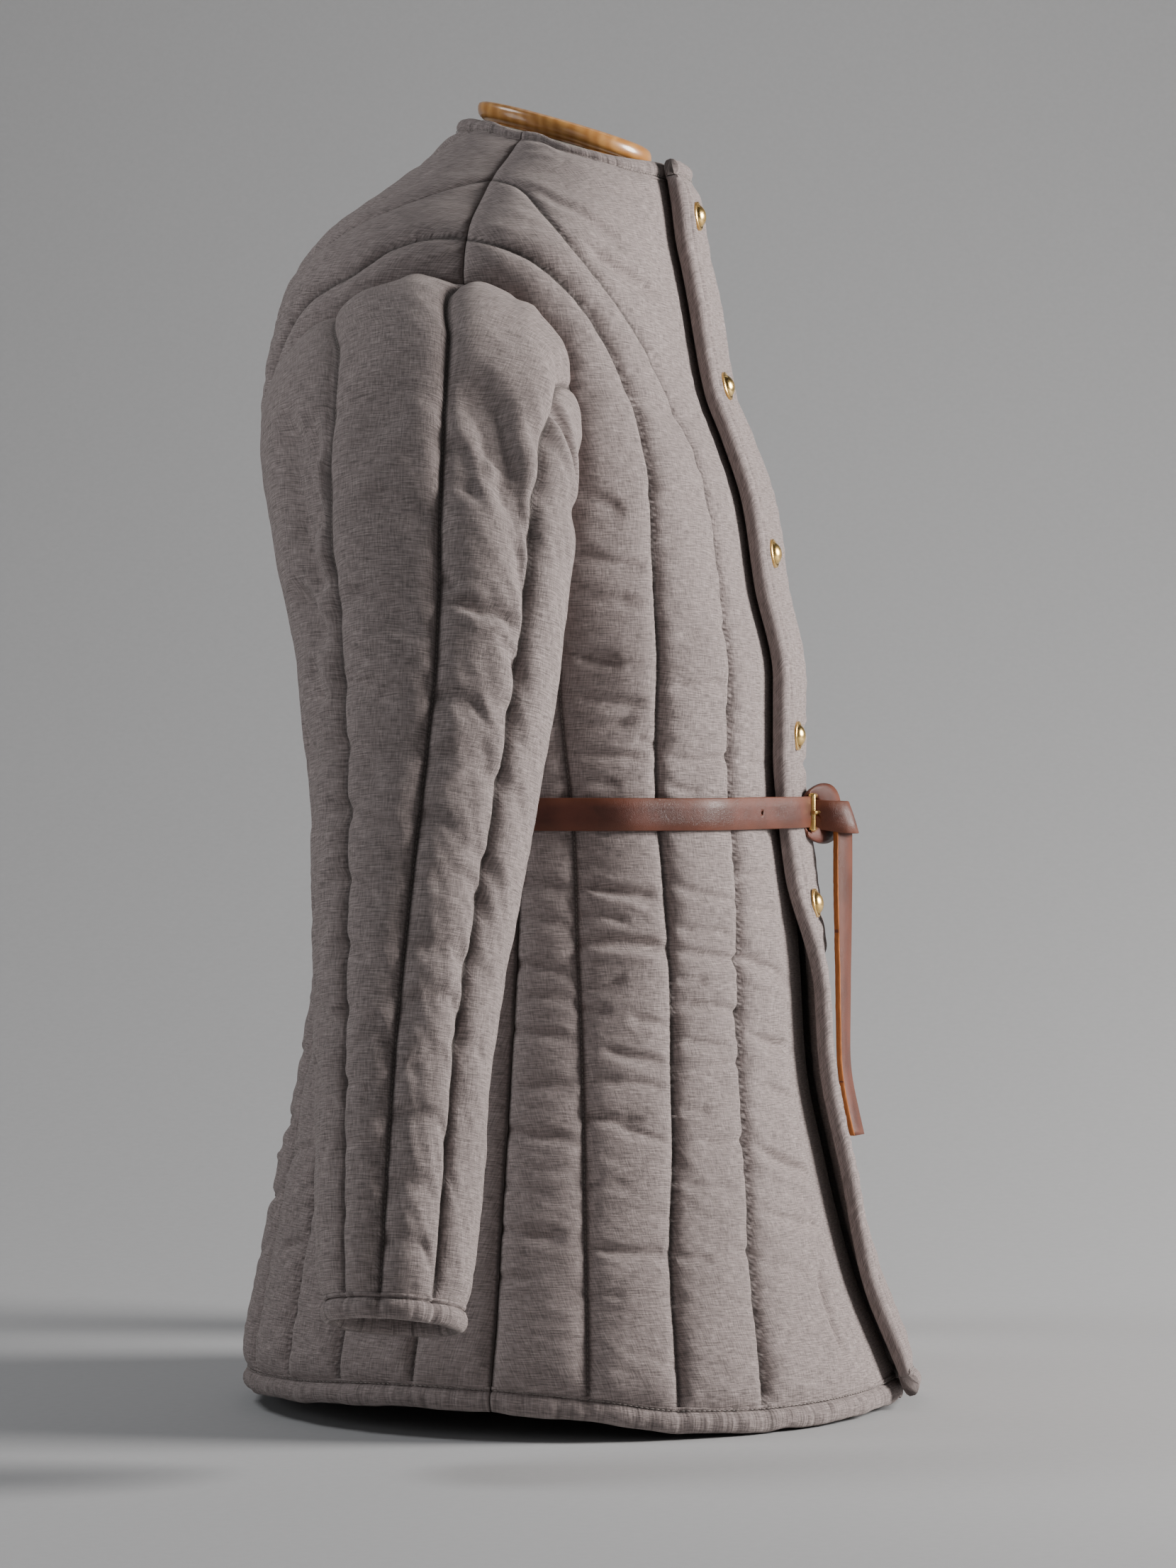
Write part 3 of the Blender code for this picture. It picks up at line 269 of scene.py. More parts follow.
def body_table():
    """|X| and Y for heights and q from -1 to 1, evenly spaced round each ring; and both halves' lengths."""
    heights = np.arange(0, 842, TABLE_STEP)
    half, front, back, centre, power = (curve(BODY_RINGS[:, 0], BODY_RINGS[:, i], heights) for i in range(1, 6))
    table = np.zeros((len(heights), 2 * TABLE_Q - 1, 2))
    lengths = np.zeros((len(heights), 2))
    angle = np.linspace(0, math.pi / 2, 721)
    for i in range(len(heights)):
        for side, depth in ((1, centre[i] - front[i]), (-1, back[i] - centre[i])):
            x = half[i] * np.cos(angle) ** (2 / power[i])
            y = centre[i] - side * depth * np.sin(angle) ** (2 / power[i])
            x[-1] = 0
            run = np.concatenate([[0], np.cumsum(np.hypot(np.diff(x), np.diff(y)))])
            at = np.linspace(0, run[-1], TABLE_Q)
            pair = read_at(at, run, np.stack([x, y], 1))
            if side == 1:
                table[i, TABLE_Q - 1 :] = pair
            else:
                table[i, :TABLE_Q] = pair[::-1]
            lengths[i, (1 - side) // 2] = run[-1]
    return heights, table, lengths


HEIGHTS, TABLE, LENGTHS = body_table()


def read_table(table, q, z):
    """Values of a table over heights and q, read between its entries; a q past a centre line is folded back."""
    q = np.where(q > 1, 2 - q, np.where(q < -1, -2 - q, q))
    u = (q + 1) * (TABLE_Q - 1)
    v = np.clip(z / TABLE_STEP, 0, len(HEIGHTS) - 1.001)
    i, j = v.astype(int), np.clip(u.astype(int), 0, 2 * TABLE_Q - 3)
    fv, fu = (v - i)[..., None], (u - j)[..., None]
    low = (1 - fu) * table[i, j] + fu * table[i, j + 1]
    high = (1 - fu) * table[i + 1, j] + fu * table[i + 1, j + 1]
    return (1 - fv) * low + fv * high


def on_body(q, z):
    q, z = np.broadcast_arrays(np.asarray(q, float), np.asarray(z, float))
    p = read_table(TABLE, q, z)
    return np.stack([np.where(np.abs(q) > 1, 1.0, -1.0) * p[..., 0], p[..., 1], z], -1)


def body_normal(q, z):
    q, z = np.asarray(q, float), np.asarray(z, float)
    n = np.cross(on_body(q + 0.02, z) - on_body(q - 0.02, z), on_body(q, z + 5) - on_body(q, z - 5))
    return n / np.linalg.norm(n, axis=-1, keepdims=True)


def smooth_line(points, share=np.linspace(0, 1, 161)):
    """(q, z) along the smooth line through the points, at shares 0 to 1 of its length."""
    points = np.array(points, float)
    run = np.concatenate([[0], np.cumsum(np.hypot(np.diff(points[:, 0]) * 240, np.diff(points[:, 1])))])
    run /= run[-1]
    return np.stack([curve(run, points[:, 0], share), curve(run, points[:, 1], share)], -1)


def flat_cut(q, z, back=False):
    """Where a point lies on its panel's flat cut: across from centre front or back, and up."""
    length = np.interp(z, HEIGHTS, LENGTHS[:, 1 if back else 0])
    return np.stack([(1 + q if back else 1 - q) * length, np.asarray(z, float)], -1)


def from_cut(across, z, back=False):
    length = np.interp(z, HEIGHTS, LENGTHS[:, 1 if back else 0])
    return across / length - 1 if back else 1 - across / length


def unevenness(points, scale, seed, count=28):
    """Smooth uneven waves of about the given length over points of any number of axes, from -1 to 1."""
    rng = np.random.default_rng(seed)
    total = np.zeros(len(points))
    for _ in range(count):
        way = rng.normal(size=points.shape[1])
        way *= 2 * math.pi / (scale * np.linalg.norm(way)) * rng.uniform(0.6, 1.5)
        total += np.sin(points @ way + rng.uniform(0, 6.3))
    return total / math.sqrt(count / 2) / 2


def along_noise(run, pitch, seed):
    """Uneven values from -1 to 1 along a seam, a new one about every pitch."""
    rng = np.random.default_rng(seed)
    values = rng.uniform(-1, 1, 400)
    at = np.asarray(run) / pitch + 40
    i = np.floor(at).astype(int) % 398
    t = at - np.floor(at)
    t = t * t * (3 - 2 * t)
    return (1 - t) * values[i] + t * values[i + 1]


# Meshes ------------------------------------------------------------------------------------------------------


def put(name, verts, faces, material, uvs=()):
    """Mesh in millimetres to a piece in metres. uvs: (map name, one pair a point), in metres for the cloth's own."""
    mesh = bpy.data.meshes.new(name)
    points = np.asarray(verts, float) * MM
    points[:, 2] -= DROP * MM
    mesh.from_pydata(points.tolist(), [], [tuple(int(i) for i in face) for face in faces])
    corners = np.zeros(len(mesh.loops), int)
    mesh.loops.foreach_get("vertex_index", corners)
    for label, pairs in uvs:
        layer = mesh.uv_layers.new(name=label)
        layer.data.foreach_set("uv", np.asarray(pairs, float)[corners].ravel())
    mesh.shade_smooth()
    mesh.materials.append(material)
    piece = bpy.data.objects.new(name, mesh)
    bpy.context.scene.collection.objects.link(piece)
    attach(piece, "root")
    return piece


def sweep(sections, closed=False):
    """Faces through equal cross-sections (n, m, 3), capped at both ends unless the sweep closes on itself."""
    n, m = sections.shape[:2]
    faces = []
    for i in range(n if closed else n - 1):
        j = (i + 1) % n
        faces += [(i * m + k, i * m + (k + 1) % m, j * m + (k + 1) % m, j * m + k) for k in range(m)]
    if not closed:
        faces += [tuple(range(m))[::-1], tuple((n - 1) * m + k for k in range(m))]
    return sections.reshape(-1, 3), faces


def outward(piece):
    """Turns a closed piece's faces outwards."""
    shape = bmesh.new()
    shape.from_mesh(piece.data)
    bmesh.ops.recalc_face_normals(shape, faces=shape.faces[:])
    if shape.calc_volume(signed=True) < 0:
        bmesh.ops.reverse_faces(shape, faces=shape.faces[:])
    shape.to_mesh(piece.data)
    shape.free()
    return piece


def stands_for(piece, node):
    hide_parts(node)
    return piece


def mirrored(points):
    return np.asarray(points) * (-1.0, 1.0, 1.0)


# Quilted panels ----------------------------------------------------------------------------------------------


class Outline:
    """Closed edge of a panel, anticlockwise on its flat cut, made of named runs of (q, z) points."""

    def __init__(self, runs, back):
        self.back = back
        self.q, self.z, self.run = [], [], []
        for label, points in runs:
            points = np.asarray(points, float)
            cut = flat_cut(points[:, 0], points[:, 1], back)
            length = run_along(cut)
            count = max(2, int(length[-1] / FABRIC_STEP))
            at = np.linspace(0, length[-1], count + 1)[:-1]
            q, z = read_at(at, length, points).T
            self.q += list(q)
            self.z += list(z)
            self.run += [label] * count
        self.q, self.z = np.array(self.q), np.array(self.z)
        self.cut = flat_cut(self.q, self.z, back)

    def where(self, *labels):
        return np.array([k for k, label in enumerate(self.run) if label in labels])


def filled(outline, spacing, lines=()):
    """(q, z) of a panel's points, its edge's first, and its triangles: a triangular net inside the outline, with
    points along the given lines."""
    edge = outline.cut
    extra = []
    for line in lines:
        cut = flat_cut(line[:, 0], line[:, 1], outline.back)
        length = run_along(cut)
        at = np.linspace(0, length[-1], int(length[-1] / spacing))[1:-1]
        extra.append(read_at(at, length, cut))
    fixed = np.concatenate([edge, *extra]) if extra else edge
    near = KDTree(len(fixed))
    for k, (x, z) in enumerate(fixed):
        near.insert((x, z, 0), k)
    near.balance()
    after = np.roll(edge, -1, 0)
    inside = []
    z, odd = edge[:, 1].min() + 0.5 * spacing, False
    while z < edge[:, 1].max():
        crossing = (edge[:, 1] > z) != (after[:, 1] > z)
        a, b = edge[crossing], after[crossing]
        cuts = np.sort(a[:, 0] + (z - a[:, 1]) / (b[:, 1] - a[:, 1]) * (b[:, 0] - a[:, 0]))
        for start, end in zip(cuts[::2], cuts[1::2]):
            first = math.ceil(start / spacing) + (0.5 if odd else 0)
            inside += [(x, z) for x in np.arange(first * spacing, end, spacing)]
        z += spacing * ROW_STEP * float(1 - CLOSER_ROWS * step(z, 690, 750))
        odd = not odd
    inside = [p for p in inside if near.find((p[0], p[1], 0))[2] > 0.6 * spacing]
    points = np.concatenate([fixed[len(edge) :], np.array(inside)])
    if extra:
        own = [p for p in points[: len(fixed) - len(edge)] if min(np.hypot(*(edge - p).T)) > 0.4 * spacing]
        points = np.concatenate([np.array(own), np.array(inside)])
    points = np.concatenate([edge, points])
    ring = [(k, (k + 1) % len(edge)) for k in range(len(edge))]
    net = delaunay_2d_cdt([Vector(p) for p in points], ring, [], 1, 1e-5)
    source = [each[0] if each else -1 for each in net[3]]
    assert len(net[0]) == len(points) and min(source) >= 0
    triangles = np.array([[source[k] for k in face] for face in net[2]])
    q = from_cut(points[:, 0], points[:, 1], outline.back)
    q[: len(edge)] = outline.q
    return q, points[:, 1], points, triangles


def nearest(line, points):
    """Distance of each point to a line of the flat cut, how far along the line it is, and on which side."""
    way = np.diff(line, axis=0)
    length = np.linalg.norm(way, axis=1)
    run = np.concatenate([[0], np.cumsum(length)])
    best = np.full(len(points), 1e9)
    along, side = np.zeros(len(points)), np.ones(len(points))
    for k in range(0, len(points), 4000):
        p = points[k : k + 4000, None] - line[None, :-1]
        t = np.clip((p * way).sum(-1) / length**2, 0, 1)
        off = p - t[..., None] * way
        d = np.hypot(off[..., 0], off[..., 1])
        j = d.argmin(1)
        rows = np.arange(len(j))
        best[k : k + 4000] = d[rows, j]
        along[k : k + 4000] = run[j] + t[rows, j] * length[j]
        side[k : k + 4000] = np.sign(way[j, 0] * p[rows, j, 1] - way[j, 1] * p[rows, j, 0])
    return best, along, side


# Kinds of seam: how far it draws the padding in, over what width, and how deep its thread sinks.
SEAMS = {
    "quilting": (1.0, 4.6, 1.3),
    "fine": (1.0, 4.2, 1.2),
    "side": (1.0, 5.0, 1.0),
    "armhole": (0.98, 8.0, 0.4),
    "shoulder": (0.8, 6.5, 0.6),
    "neck": (0.9, 6.0, 0.3),
    "hem": (0.9, 6.5, 0.3),
    "front edge": (0.7, 4.0, 0.0),
}
TUG_REACH = 30.0


def tugs(run, away, side, seed):
    """Small uneven creases running off a line of stitches to either side, each fading into its crown."""
    total = np.zeros(np.shape(away))
    for turn, pitch, depth in ((1, 7.5, 1.5), (-1, 8.5, 1.5), (1, 15, 1.7), (-1, 13, 1.7)):
        slope = 0.34 * along_noise(run, 45, seed + 7)
        wave = along_noise(run + slope * away, pitch, seed + int(pitch) + turn)
        reach = TUG_REACH * (0.35 + 0.65 * np.abs(along_noise(run, 21, seed + 13 + turn)))
        total -= (side == turn) * depth * np.clip(wave - 0.3, 0, 1) * np.exp(-((away / reach) ** 2))
    return total * (1 - 0.8 * np.exp(-away / 1.5))


def crowned(share):
    """Height of the padding across a channel: full in its middle, falling to its seams."""
    return 0.76 + 0.24 * np.sin(math.pi * share) ** 0.8


def ridges(run, away, seed, wide_seed, size):
    """Small uneven ridges beside a seam, fading away from it."""
    fine, wide = along_noise(run + 0.6 * away, 5.2, seed), along_noise(run + 1.5 * away, 12, wide_seed)
    fading = np.exp(-((away / PUCKER_REACH) ** 1.1)) * (1 - 0.7 * np.exp(-away / 1.2))
    return (size * fine + 0.6 * wide) * fading


def quilted(cut, seams, seed):
    """Height of the outer cloth over the body surface at points of the flat cut: the padding's crowns between the
    seams, drawn in and puckered along each. Also the seam map: run and distance to the nearest quilting line."""
    found = [nearest(line, cut) for _, line in seams]
    distances = np.array([d for d, _, _ in found])
    channel = np.sort(distances, axis=0)[:2]
    share = channel[0] / np.maximum(channel.sum(0), 1e-6)
    height = crowned(share)
    pucker = np.zeros(len(cut))
    sink = np.zeros(len(cut))
    upper = step(cut[:, 1], 600, 760)
    below_belt = 0.7 + 0.5 * np.exp(-(((cut[:, 1] - 270) / 110) ** 2))
    for k, ((kind, _), (d, run, side)) in enumerate(zip(seams, found)):
        pull, width, thread = SEAMS[kind]
        if kind == "fine":
            pull = pull * (1 - 0.68 * step(cut[:, 1], 430, 600))
        elif kind == "quilting":
            pull = pull * (1 - 0.4 * upper)
        height *= 1 - pull * np.exp(-((d / width) ** 1.15))
        sink += thread * (1 - 0.45 * upper) * np.exp(-((d / 1.5) ** 2))
        sewn = kind in ("quilting", "fine", "side")
        pucker += (0.6 if sewn else 0.5) * ridges(run, d, seed + 3 * k, seed + 3 * k + 1, 0.7)
        if sewn:
            pucker += below_belt * (1 - 0.5 * upper) * tugs(run, d, side, seed + 100 + 5 * k)
    quilting = [k for k, (kind, _) in enumerate(seams) if kind in ("quilting", "fine", "side")]
    closest = distances[quilting].argmin(0)
    rows = np.arange(len(cut))
    runs = np.array([run for _, run, _ in found])
    seam_map = np.stack([runs[quilting][closest, rows], distances[quilting][closest, rows]], 1)
    relief = 0.6 * unevenness(cut, 60, seed + 51) + 0.45 * unevenness(cut * (0.6, 1.7), 22, seed + 52)
    relief *= np.clip(distances.min(0) / 10, 0.1, 1)
    return GROOVE + (CROWN - GROOVE) * height + pucker + relief - sink, seam_map


CREASE_DEPTH = 2.8  # how deep a crease of depth 1 is


def creased(cut, creases, up=1):
    """Sum of soft troughs (depth above 0) and ridges (below 0): each runs from one point of the flat cut to another,
    bowed to one side, fades at its ends, and is steeper above than below."""
    total = np.zeros(len(cut))
    for x0, z0, x1, z1, width, depth, bow in creases:
        a, b = np.array([x0, z0], float), np.array([x1, z1], float)
        way = b - a
        length = np.linalg.norm(way)
        way /= length
        off = cut - a
        t = off @ way / length
        d = off @ np.array([-way[1], way[0]]) - bow * 4 * t * (1 - t)
        fade = np.clip(np.minimum(t, 1 - t) * 4 + 0.25, 0, 1)
        above = d * way[0] * up > 0
        wide = width * np.where(above, 0.6, 1.35)
        near = (t > -0.1) & (t < 1.1) & (abs(d) < 3.5 * wide)
        total[near] -= (CREASE_DEPTH * depth * np.exp(-((d / wide) ** 2)) * fade)[near]
    return total


def across_back(points):
    """The same (q, z) points on the left half of the back."""
    return points * (-1, 1) + (-2, 0)


FRONT_LINES = [smooth_line(p) for p in (FRONT_A, FRONT_B, FRONT_C)]
BACK_LINES = [smooth_line(p) for p in (BACK_1, BACK_2, BACK_3, BACK_4, BACK_5, BACK_6)]
BACK_LINES += [across_back(line) for line in BACK_LINES[:-1]]


def past_centre(distance, heights):
    return 1 + distance / np.interp(heights, HEIGHTS, LENGTHS[:, 0])


def edge_curve(table, q):
    return curve(*zip(*table), q)


def right_edge(z):
    return RIGHT_EDGE_PAST_CENTRE + 0 * z


def left_edge(z):
    """The flap falls open a little below the belt."""
    return LEFT_EDGE_PAST_CENTRE - FLAP_OPEN * step(FLAP_OPENS_AT - z, 0, 70) * (0.6 + 0.4 * step(z, 60, 160))


def across_to(table, q_from, q_to, count):
    """Points along a hem or neck edge."""
    q = np.linspace(q_from, q_to, count)
    return np.stack([q, edge_curve(table, q)], 1)


SIDE_RUN = ("side", np.stack([np.zeros(150), np.linspace(532, 40, 150)], 1))
SHOULDER_RUN = ("shoulder", np.stack([np.zeros(60), np.linspace(807, 703, 60)], 1))
FRONT_FOOT, FRONT_TOP = 26.0, 784.0  # heights of the front edge's ends


def front_outline(past):
    rise = np.linspace(FRONT_FOOT, FRONT_TOP, 300)
    front_q = past_centre(past(rise), rise)
    return Outline(
        [
            SIDE_RUN,
            ("hem", across_to(HEM_EDGE, 0, front_q[0], 200)),
            ("front edge", np.stack([front_q, rise], 1)),
            ("neck", across_to(NECK_EDGE, front_q[-1], 0, 120)),
            SHOULDER_RUN,
            ("armhole", smooth_line(ARMHOLE_FRONT)[::-1]),
        ],
        back=False,
    )


def back_outline():
    half = [SIDE_RUN, ("hem", across_to(HEM_EDGE, 0, -1, 200))]
    top = [("neck", across_to(NECK_EDGE, -1, 0, 120)), SHOULDER_RUN, ("armhole", smooth_line(ARMHOLE_BACK)[::-1])]
    rest, over = ([(label, across_back(points[::-1])) for label, points in reversed(runs)] for runs in (half, top))
    return Outline(half + rest + over + top, back=True)


def seam_lines(outline, inner_lines):
    """A panel's own seams, each with its kind and its line on the flat cut."""
    seams = [
        ("fine" if k == 2 and not outline.back else "quilting", flat_cut(*line.T, outline.back))
        for k, line in enumerate(inner_lines)
    ]
    labels = np.array(outline.run)
    n = len(labels)
    starts = [k for k in range(n) if labels[k] != labels[k - 1]]
    for k, start in enumerate(starts):
        end = starts[(k + 1) % len(starts)]
        which = np.arange(start, end + 1 if end > start else end + n + 1) % n
        seams.append((labels[start], outline.cut[which]))
    return seams


# Materials ---------------------------------------------------------------------------------------------------


def group(name, inputs, outputs):
    """A node group with named inputs (name, value) and the names of its outputs."""
    tree = bpy.data.node_groups.new(name, "ShaderNodeTree")
    for label, value in inputs:
        kind = "NodeSocketVector" if isinstance(value, tuple) else "NodeSocketFloat"
        socket = tree.interface.new_socket(label, in_out="INPUT", socket_type=kind)
        socket.default_value = value
    for label in outputs:
        tree.interface.new_socket(label, in_out="OUTPUT", socket_type="NodeSocketFloat")
    return tree, tree.nodes.new("NodeGroupInput"), tree.nodes.new("NodeGroupOutput")


def feed(tree, value, socket):
    """Links a node's output to the socket, or sets the socket to a number or colour."""
    if isinstance(value, (int, float, tuple)):
        socket.default_value = value
    else:
        tree.links.new(value, socket)


def maths(tree, operation, *values):
    node = tree.nodes.new("ShaderNodeMath")
    node.operation = operation
    for socket, value in zip(node.inputs, values):
        feed(tree, value, socket)
    return node.outputs[0]


def times(tree, a, b):
    return maths(tree, "MULTIPLY", a, b)


def plus(tree, a, b):
    return maths(tree, "ADD", a, b)


def remap(tree, value, low, high, to_low=0.0, to_high=1.0):
    node = tree.nodes.new("ShaderNodeMapRange")
    node.interpolation_type = "SMOOTHSTEP"
    labels = ("Value", "From Min", "From Max", "To Min", "To Max")
    for label, number in zip(labels, (value, low, high, to_low, to_high)):
        feed(tree, number, node.inputs[label])
    return node.outputs["Result"]


def mixed(tree, share, a, b):
    node = tree.nodes.new("ShaderNodeMix")
    node.data_type = "RGBA"
    for label, value in (("Factor", share), ("A", a), ("B", b)):
        feed(tree, value, node.inputs[label])
    return node.outputs["Result"]


def scaled(tree, vector, scale, shift=(0, 0, 0)):
    node = tree.nodes.new("ShaderNodeMapping")
    for label, value in (("Vector", vector), ("Scale", scale), ("Location", shift)):
        feed(tree, value, node.inputs[label])
    return node.outputs["Vector"]


def noise(tree, vector, scale=None, detail=2.0, roughness=0.5, shift=(0, 0, 0)):
    """Soft noise over a place, stretched by a scale along each axis."""
    node = tree.nodes.new("ShaderNodeTexNoise")
    place = scaled(tree, vector, scale, shift) if scale else vector
    for label, value in (("Vector", place), ("Scale", 1.0), ("Detail", detail), ("Roughness", roughness)):
        feed(tree, value, node.inputs[label])
    return node.outputs["Fac"]


THREAD_PITCH = 0.56  # mm between the linen's threads
WEAVE_OUTPUTS = ("Height", "Thread", "Coarse", "Slub", "Speck")


def linen_weave():
    """Plain weave from a flat map in metres: its threads' height and shade, thick threads, pale slubs and specks."""
    tree, start, end = group(
        "linen weave",
        [("Cut", (0.0, 0.0, 0.0)), ("Pitch mm", THREAD_PITCH)],
        WEAVE_OUTPUTS,
    )
    wander = tree.nodes.new("ShaderNodeTexNoise")
    wander.inputs["Scale"].default_value = 90.0
    wander.inputs["Detail"].default_value = 2.0
    feed(tree, start.outputs["Cut"], wander.inputs["Vector"])
    shifted = tree.nodes.new("ShaderNodeVectorMath")
    shifted.operation = "MULTIPLY_ADD"
    feed(tree, wander.outputs["Color"], shifted.inputs[0])
    shifted.inputs[1].default_value = (0.0005, 0.0005, 0)
    feed(tree, start.outputs["Cut"], shifted.inputs[2])
    parts = tree.nodes.new("ShaderNodeSeparateXYZ")
    feed(tree, shifted.outputs[0], parts.inputs[0])
    turns = maths(tree, "DIVIDE", 1000 * math.pi, start.outputs["Pitch mm"])
    across = maths(tree, "SINE", times(tree, parts.outputs["X"], turns))
    up = maths(tree, "SINE", times(tree, parts.outputs["Y"], turns))
    knuckles = times(tree, across, up)
    weft = maths(tree, "SUBTRACT", 1.0, maths(tree, "POWER", maths(tree, "ABSOLUTE", up), 2.0))
    warp = maths(tree, "SUBTRACT", 1.0, maths(tree, "POWER", maths(tree, "ABSOLUTE", across), 2.0))
    weft = times(tree, weft, maths(tree, "MULTIPLY_ADD", knuckles, 0.35, 0.65))
    warp = times(tree, warp, maths(tree, "MULTIPLY_ADD", knuckles, -0.35, 0.55))

    def threads(scale, shift=(0, 0, 0)):
        return noise(tree, shifted.outputs[0], scale, 1.0, shift=shift)

    thread = plus(tree, times(tree, threads((60, 2600, 1)), 0.65), times(tree, threads((2600, 50, 1)), 0.35))
    thick_weft, thick_warp = threads((130, 1250, 1), (3, 5, 0)), threads((1180, 150, 1), (5, 1, 0))
    coarse = plus(tree, times(tree, thick_weft, 0.58), times(tree, thick_warp, 0.42))
    slub = remap(tree, threads((75, 1250, 1), (7, 3, 0)), 0.71, 0.80)
    speck = remap(tree, noise(tree, start.outputs["Cut"], (420, 620, 1), 1.0, shift=(2, 9, 0)), 0.79, 0.84)
    height = plus(tree, maths(tree, "MAXIMUM", weft, warp), times(tree, slub, 0.7))
    height = plus(tree, plus(tree, height, times(tree, thread, 0.6)), times(tree, coarse, 1.6))
    for label, value in zip(WEAVE_OUTPUTS, (height, thread, coarse, slub, speck)):
        feed(tree, value, end.inputs[label])
    return tree


def pulled_seam():
    """Fine puckers beside machine stitching, from a map of run and distance in metres, and a mask for the painted shade
    in the seam's fold.
    """
    tree, start, end = group(
        "pulled seam",
        [("Seam", (0.0, 0.0, 0.0)), ("Pitch mm", 3.6), ("Width mm", 2.2)],
        ("Height", "Fold shade"),
    )
    parts = tree.nodes.new("ShaderNodeSeparateXYZ")
    feed(tree, start.outputs["Seam"], parts.inputs[0])
    run = times(tree, parts.outputs["X"], 1000.0)
    away = times(tree, maths(tree, "ABSOLUTE", parts.outputs["Y"]), 1000.0)
    uneven = noise(tree, start.outputs["Seam"], (160, 60, 1), 2.0)
    slanted = plus(tree, plus(tree, run, times(tree, away, 0.75)), times(tree, uneven, 6.0))
    turns = maths(tree, "DIVIDE", times(tree, slanted, 2 * math.pi), start.outputs["Pitch mm"])
    wave = maths(tree, "SINE", turns)
    reach = maths(tree, "DIVIDE", away, start.outputs["Width mm"])
    near = maths(tree, "POWER", 2.718, times(tree, maths(tree, "POWER", reach, 1.6), -1.0))
    rising = remap(tree, away, 0.3, 1.6)
    height = times(tree, times(tree, wave, near), rising)
    feed(tree, times(tree, height, maths(tree, "MULTIPLY_ADD", uneven, 1.2, 0.3)), end.inputs["Height"])
    # mask for the painted shade in the seam's fold: 1 at the stitches, fading out over 2.4 mm
    feed(tree, remap(tree, away, 0.3, 2.4, 1.0, 0.0), end.inputs["Fold shade"])
    return tree


def grime():
    """Soft uneven patches of light and dark, and the worn high places and the hollows of a surface."""
    tree, start, end = group(
        "wear and grime",
        [("Place", (0.0, 0.0, 0.0)), ("Size mm", 60.0)],
        ("Patch", "Edge", "Hollow"),
    )
    spread = tree.nodes.new("ShaderNodeVectorMath")
    spread.operation = "SCALE"
    feed(tree, start.outputs["Place"], spread.inputs[0])
    feed(tree, maths(tree, "DIVIDE", 1000.0, start.outputs["Size mm"]), spread.inputs["Scale"])
    feed(tree, noise(tree, spread.outputs[0], None, 4.0, 0.55), end.inputs["Patch"])
    point = tree.nodes.new("ShaderNodeNewGeometry").outputs["Pointiness"]
    feed(tree, remap(tree, point, 0.51, 0.56), end.inputs["Edge"])
    feed(tree, remap(tree, point, 0.5, 0.43), end.inputs["Hollow"])
    return tree


WEAVE, PULLED, GRIME = linen_weave(), pulled_seam(), grime()


def placed(tree, kind, **values):
    node = tree.nodes.new("ShaderNodeGroup")
    node.node_tree = kind
    for label, value in values.items():
        feed(tree, value, node.inputs[label.replace("_", " ")])
    return node.outputs


def new_material(name, roughness, metallic=0.0, **settings):
    material = bpy.data.materials.new(name)
    material.use_nodes = True
    shader = material.node_tree.nodes["Principled BSDF"]
    shader.inputs["Roughness"].default_value = roughness
    shader.inputs["Metallic"].default_value = metallic
    for label, value in settings.items():
        shader.inputs[label.replace("_", " ")].default_value = value
    return material, material.node_tree, shader


def bumped(tree, shader, heights):
    """Bumps in a row, each (height, distance in mm, strength), into the shader's normal."""
    normal = None
    for height, distance, strength in heights:
        bump = tree.nodes.new("ShaderNodeBump")
        bump.inputs["Distance"].default_value = distance * MM
        bump.inputs["Strength"].default_value = strength
        feed(tree, height, bump.inputs["Height"])
        if normal:
            feed(tree, normal, bump.inputs["Normal"])
        normal = bump.outputs["Normal"]
    feed(tree, normal, shader.inputs["Normal"])


def uv_map(tree, label):
    node = tree.nodes.new("ShaderNodeUVMap")
    node.uv_map = label
    return node.outputs["UV"]


def object_place(tree):
    return tree.nodes.new("ShaderNodeTexCoord").outputs["Object"]


def shade(colour, factor):
    return tuple(c * factor for c in colour[:3]) + (1.0,)


LINEN_COLOUR = (0.300, 0.250, 0.240, 1.0)
LINEN_PALE = (0.56, 0.50, 0.46, 1.0)
SPECK_COLOUR = (0.075, 0.045, 0.03, 1.0)


